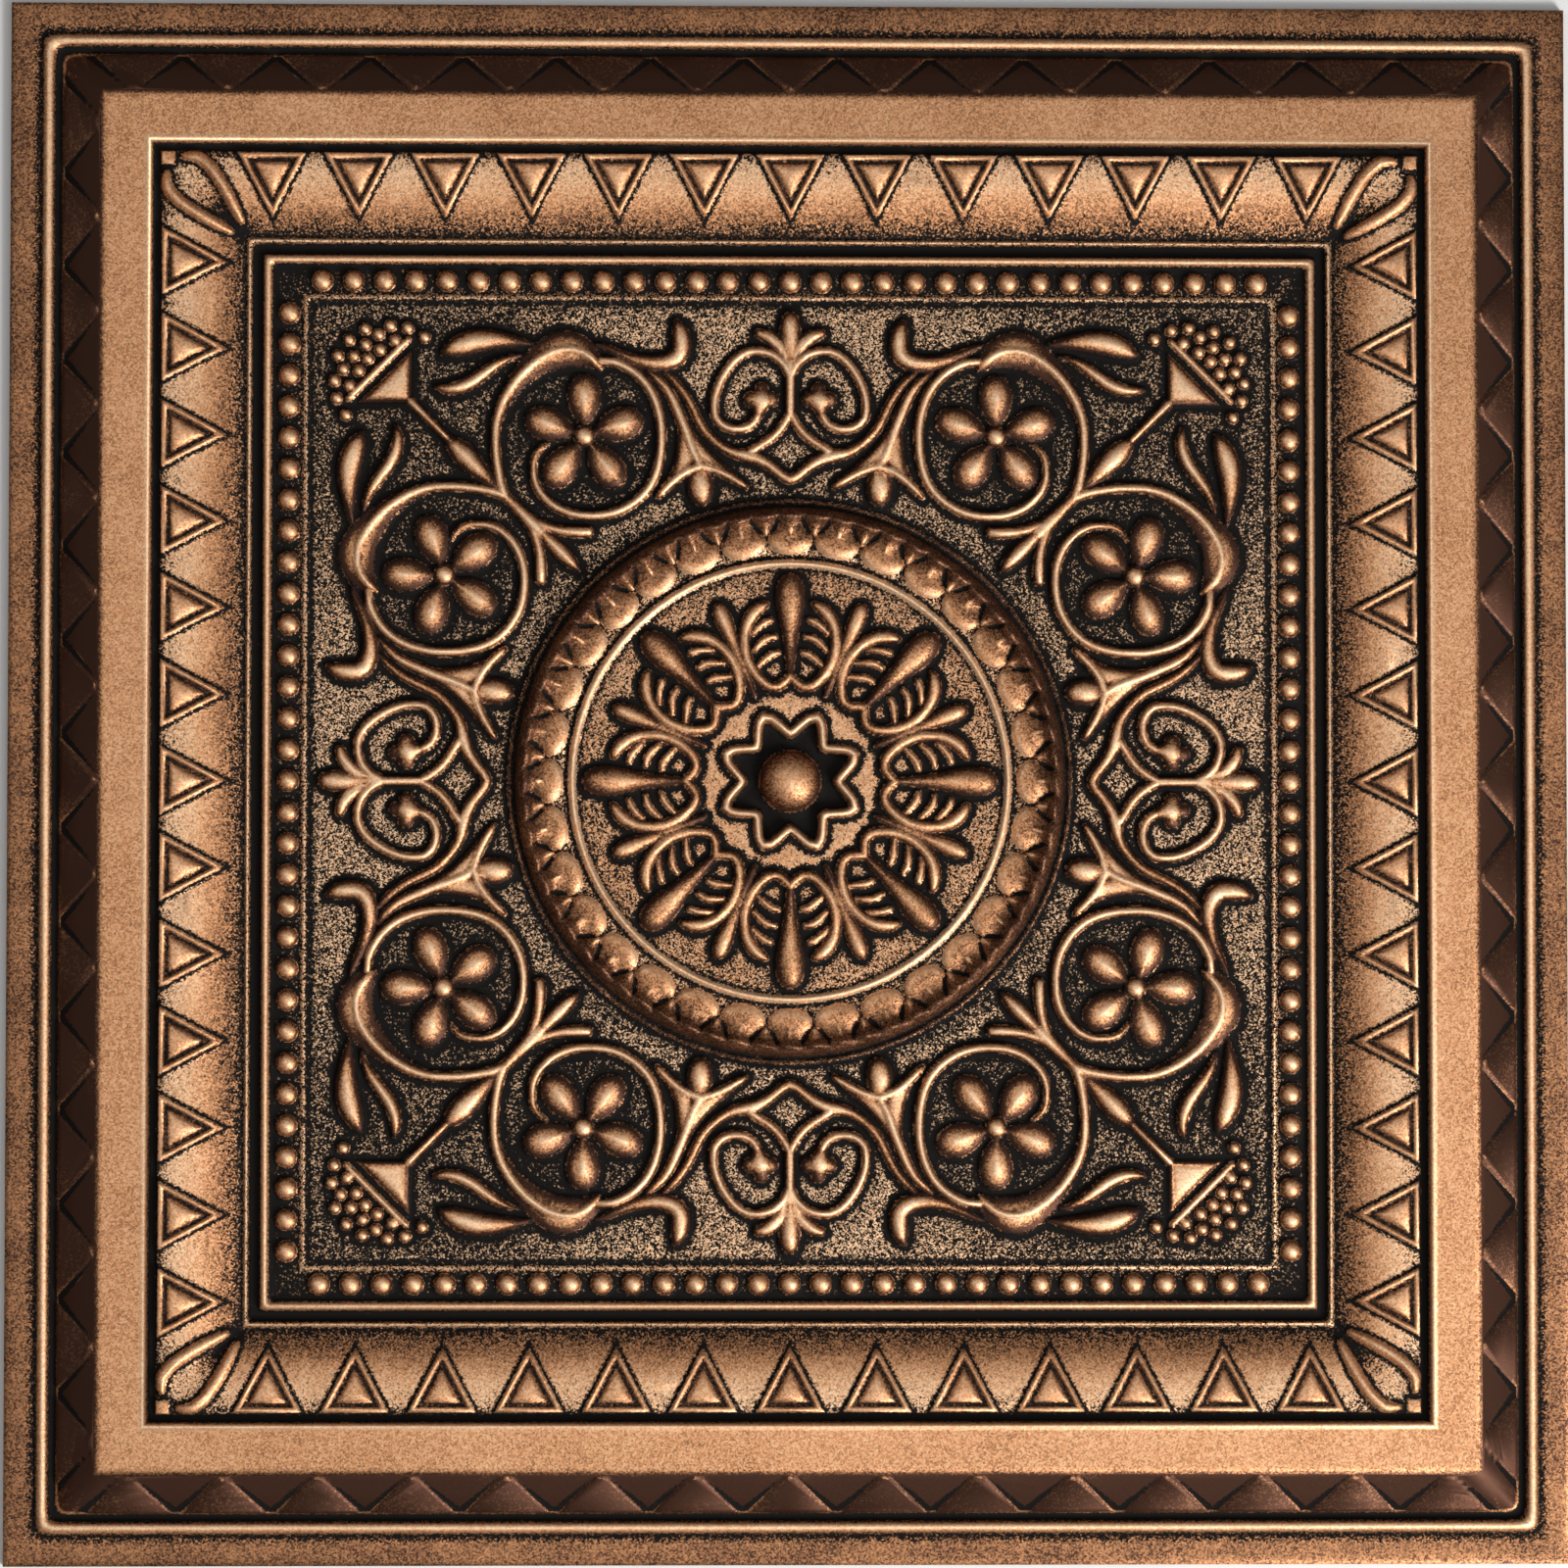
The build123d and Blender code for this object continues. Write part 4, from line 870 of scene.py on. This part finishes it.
# The tone map carries painted highlight and shade as well as the copper's own tone.
crest = node("ShaderNodeAttribute", attribute_name="tone_and_painted_light").outputs["Fac"]
lumps = scaled(grain(LUMP_SIZE, 3.0, 0.65), 0.3, 0.7)
fine = flecks(FLECK_SIZE)
speckle = maths("ADD", maths("MULTIPLY", fine, FLECK_SHARE), maths("MULTIPLY", lumps, LUMP_SHARE))
cover = scaled(maths("SUBTRACT", maths("MULTIPLY", caught, 1.3), speckle), -0.05, 0.25)
flake = scaled(flecks(FLAKE_SIZE), 0.0, 1.0, -0.22, 0.22)
cloud = scaled(grain(CLOUD_SIZE, 3.0), 0.3, 0.7, -0.06, 0.06)
uneven = maths("MULTIPLY", flake, scaled(crest, 0.0, 0.4, 0.3, 1.0))
tone = maths("ADD", maths("ADD", crest, uneven), cloud)
copper_low = mixed(scaled(tone, 0.1, 0.5), COPPER_BROWN_AND_SHADE, COPPER)
copper_colour = mixed(scaled(tone, 0.5, 1.0), copper_low, COPPER_PALE_AND_HIGHLIGHT)
painted = mixed(cover, BLACK_WASH, copper_colour)
facing = node("ShaderNodeSeparateXYZ")
join(coordinates.outputs["Normal"], facing.inputs[0])
bare = scaled(facing.outputs["Z"], -0.6, -0.7)
join(mixed(bare, painted, BARE_FOAM), shader.inputs["Base Color"])
metal = maths("MULTIPLY", cover, scaled(bare, 0.0, 1.0, METAL_SHARE, 0.0))
join(metal, shader.inputs["Metallic"])
rough = scaled(maths("ADD", cover, flake), 0.0, 1.0, WASH_ROUGH, COPPER_ROUGH)
join(rough, shader.inputs["Roughness"])
shader.inputs["Specular IOR Level"].default_value = SHEEN
bump = node("ShaderNodeBump", Strength=0.25, Distance=0.00025)
join(speckle, bump.inputs["Height"])
join(bump.outputs["Normal"], shader.inputs["Normal"])
skin_mesh.materials.append(paint)

# The floor is a plain pale studio sheet. The lamps are a soft box at the near right, a wide weak one overhead
# and a weaker one high on the left.
FLOOR_COLOUR = (0.86, 0.86, 0.85, 1)
FLOOR_SIDE = 6.0
FLOOR_GAP = 0.0005
FLOOR_ROUGH = 0.9
WORLD_LIGHT = 0.105
floor_points = np.array([[-1, -1, 0], [1, -1, 0], [1, 1, 0], [-1, 1, 0]]) * FLOOR_SIDE / 2
floor_mesh = mesh_of("floor", floor_points, np.array([[0, 1, 2], [0, 2, 3]]))
floor = bpy.data.objects.new("floor", floor_mesh)
floor.location.z = -FLOOR_GAP
bpy.context.scene.collection.objects.link(floor)
floor_paint = bpy.data.materials.new("floor_sheet")
floor_paint.use_nodes = True
floor_paint.node_tree.nodes["Principled BSDF"].inputs["Base Color"].default_value = FLOOR_COLOUR
floor_paint.node_tree.nodes["Principled BSDF"].inputs["Roughness"].default_value = FLOOR_ROUGH
floor_mesh.materials.append(floor_paint)

world = bpy.data.worlds.new("studio")
bpy.context.scene.world = world
world.use_nodes = True
world.node_tree.nodes["Background"].inputs["Color"].default_value = (1, 1, 1, 1)
world.node_tree.nodes["Background"].inputs["Strength"].default_value = WORLD_LIGHT


def soft_box(name, place, side, watts, target=(0, 0, 0)):
    """A square area lamp at a place, turned to a target."""
    lamp = bpy.data.lights.new(name, "AREA")
    lamp.size = side
    lamp.energy = watts
    holder = bpy.data.objects.new(name, lamp)
    direction = np.subtract(target, place)
    holder.location = place
    yaw = np.arctan2(direction[0], -direction[1])
    tilt = np.arctan2(np.hypot(direction[0], direction[1]), -direction[2])
    holder.rotation_euler = (tilt, 0, yaw + np.pi)
    bpy.context.scene.collection.objects.link(holder)


soft_box("key_box", (1.42, -1.42, 1.52), side=0.9, watts=62)
soft_box("top_box", (0.35, -0.4, 2.0), side=1.6, watts=9)
soft_box("left_box", (-0.9, 0.45, 1.8), side=1.0, watts=4.7)

# The camera looks almost straight down, a little from the near left, as the photograph does.
CAMERA_PLACE = (-0.0484, -0.0685, 1.8)
CAMERA_TURN = (2.158, -1.485, 0.036)
LENS = 128.87
camera_data = bpy.data.cameras.new("camera")
camera_data.lens = LENS
camera_data.sensor_width = 36.0
camera = bpy.data.objects.new("camera", camera_data)
camera.location = CAMERA_PLACE
camera.rotation_euler = [radians(a) for a in CAMERA_TURN]
bpy.context.scene.collection.objects.link(camera)
bpy.context.scene.camera = camera
bpy.context.scene.view_settings.view_transform = "Standard"
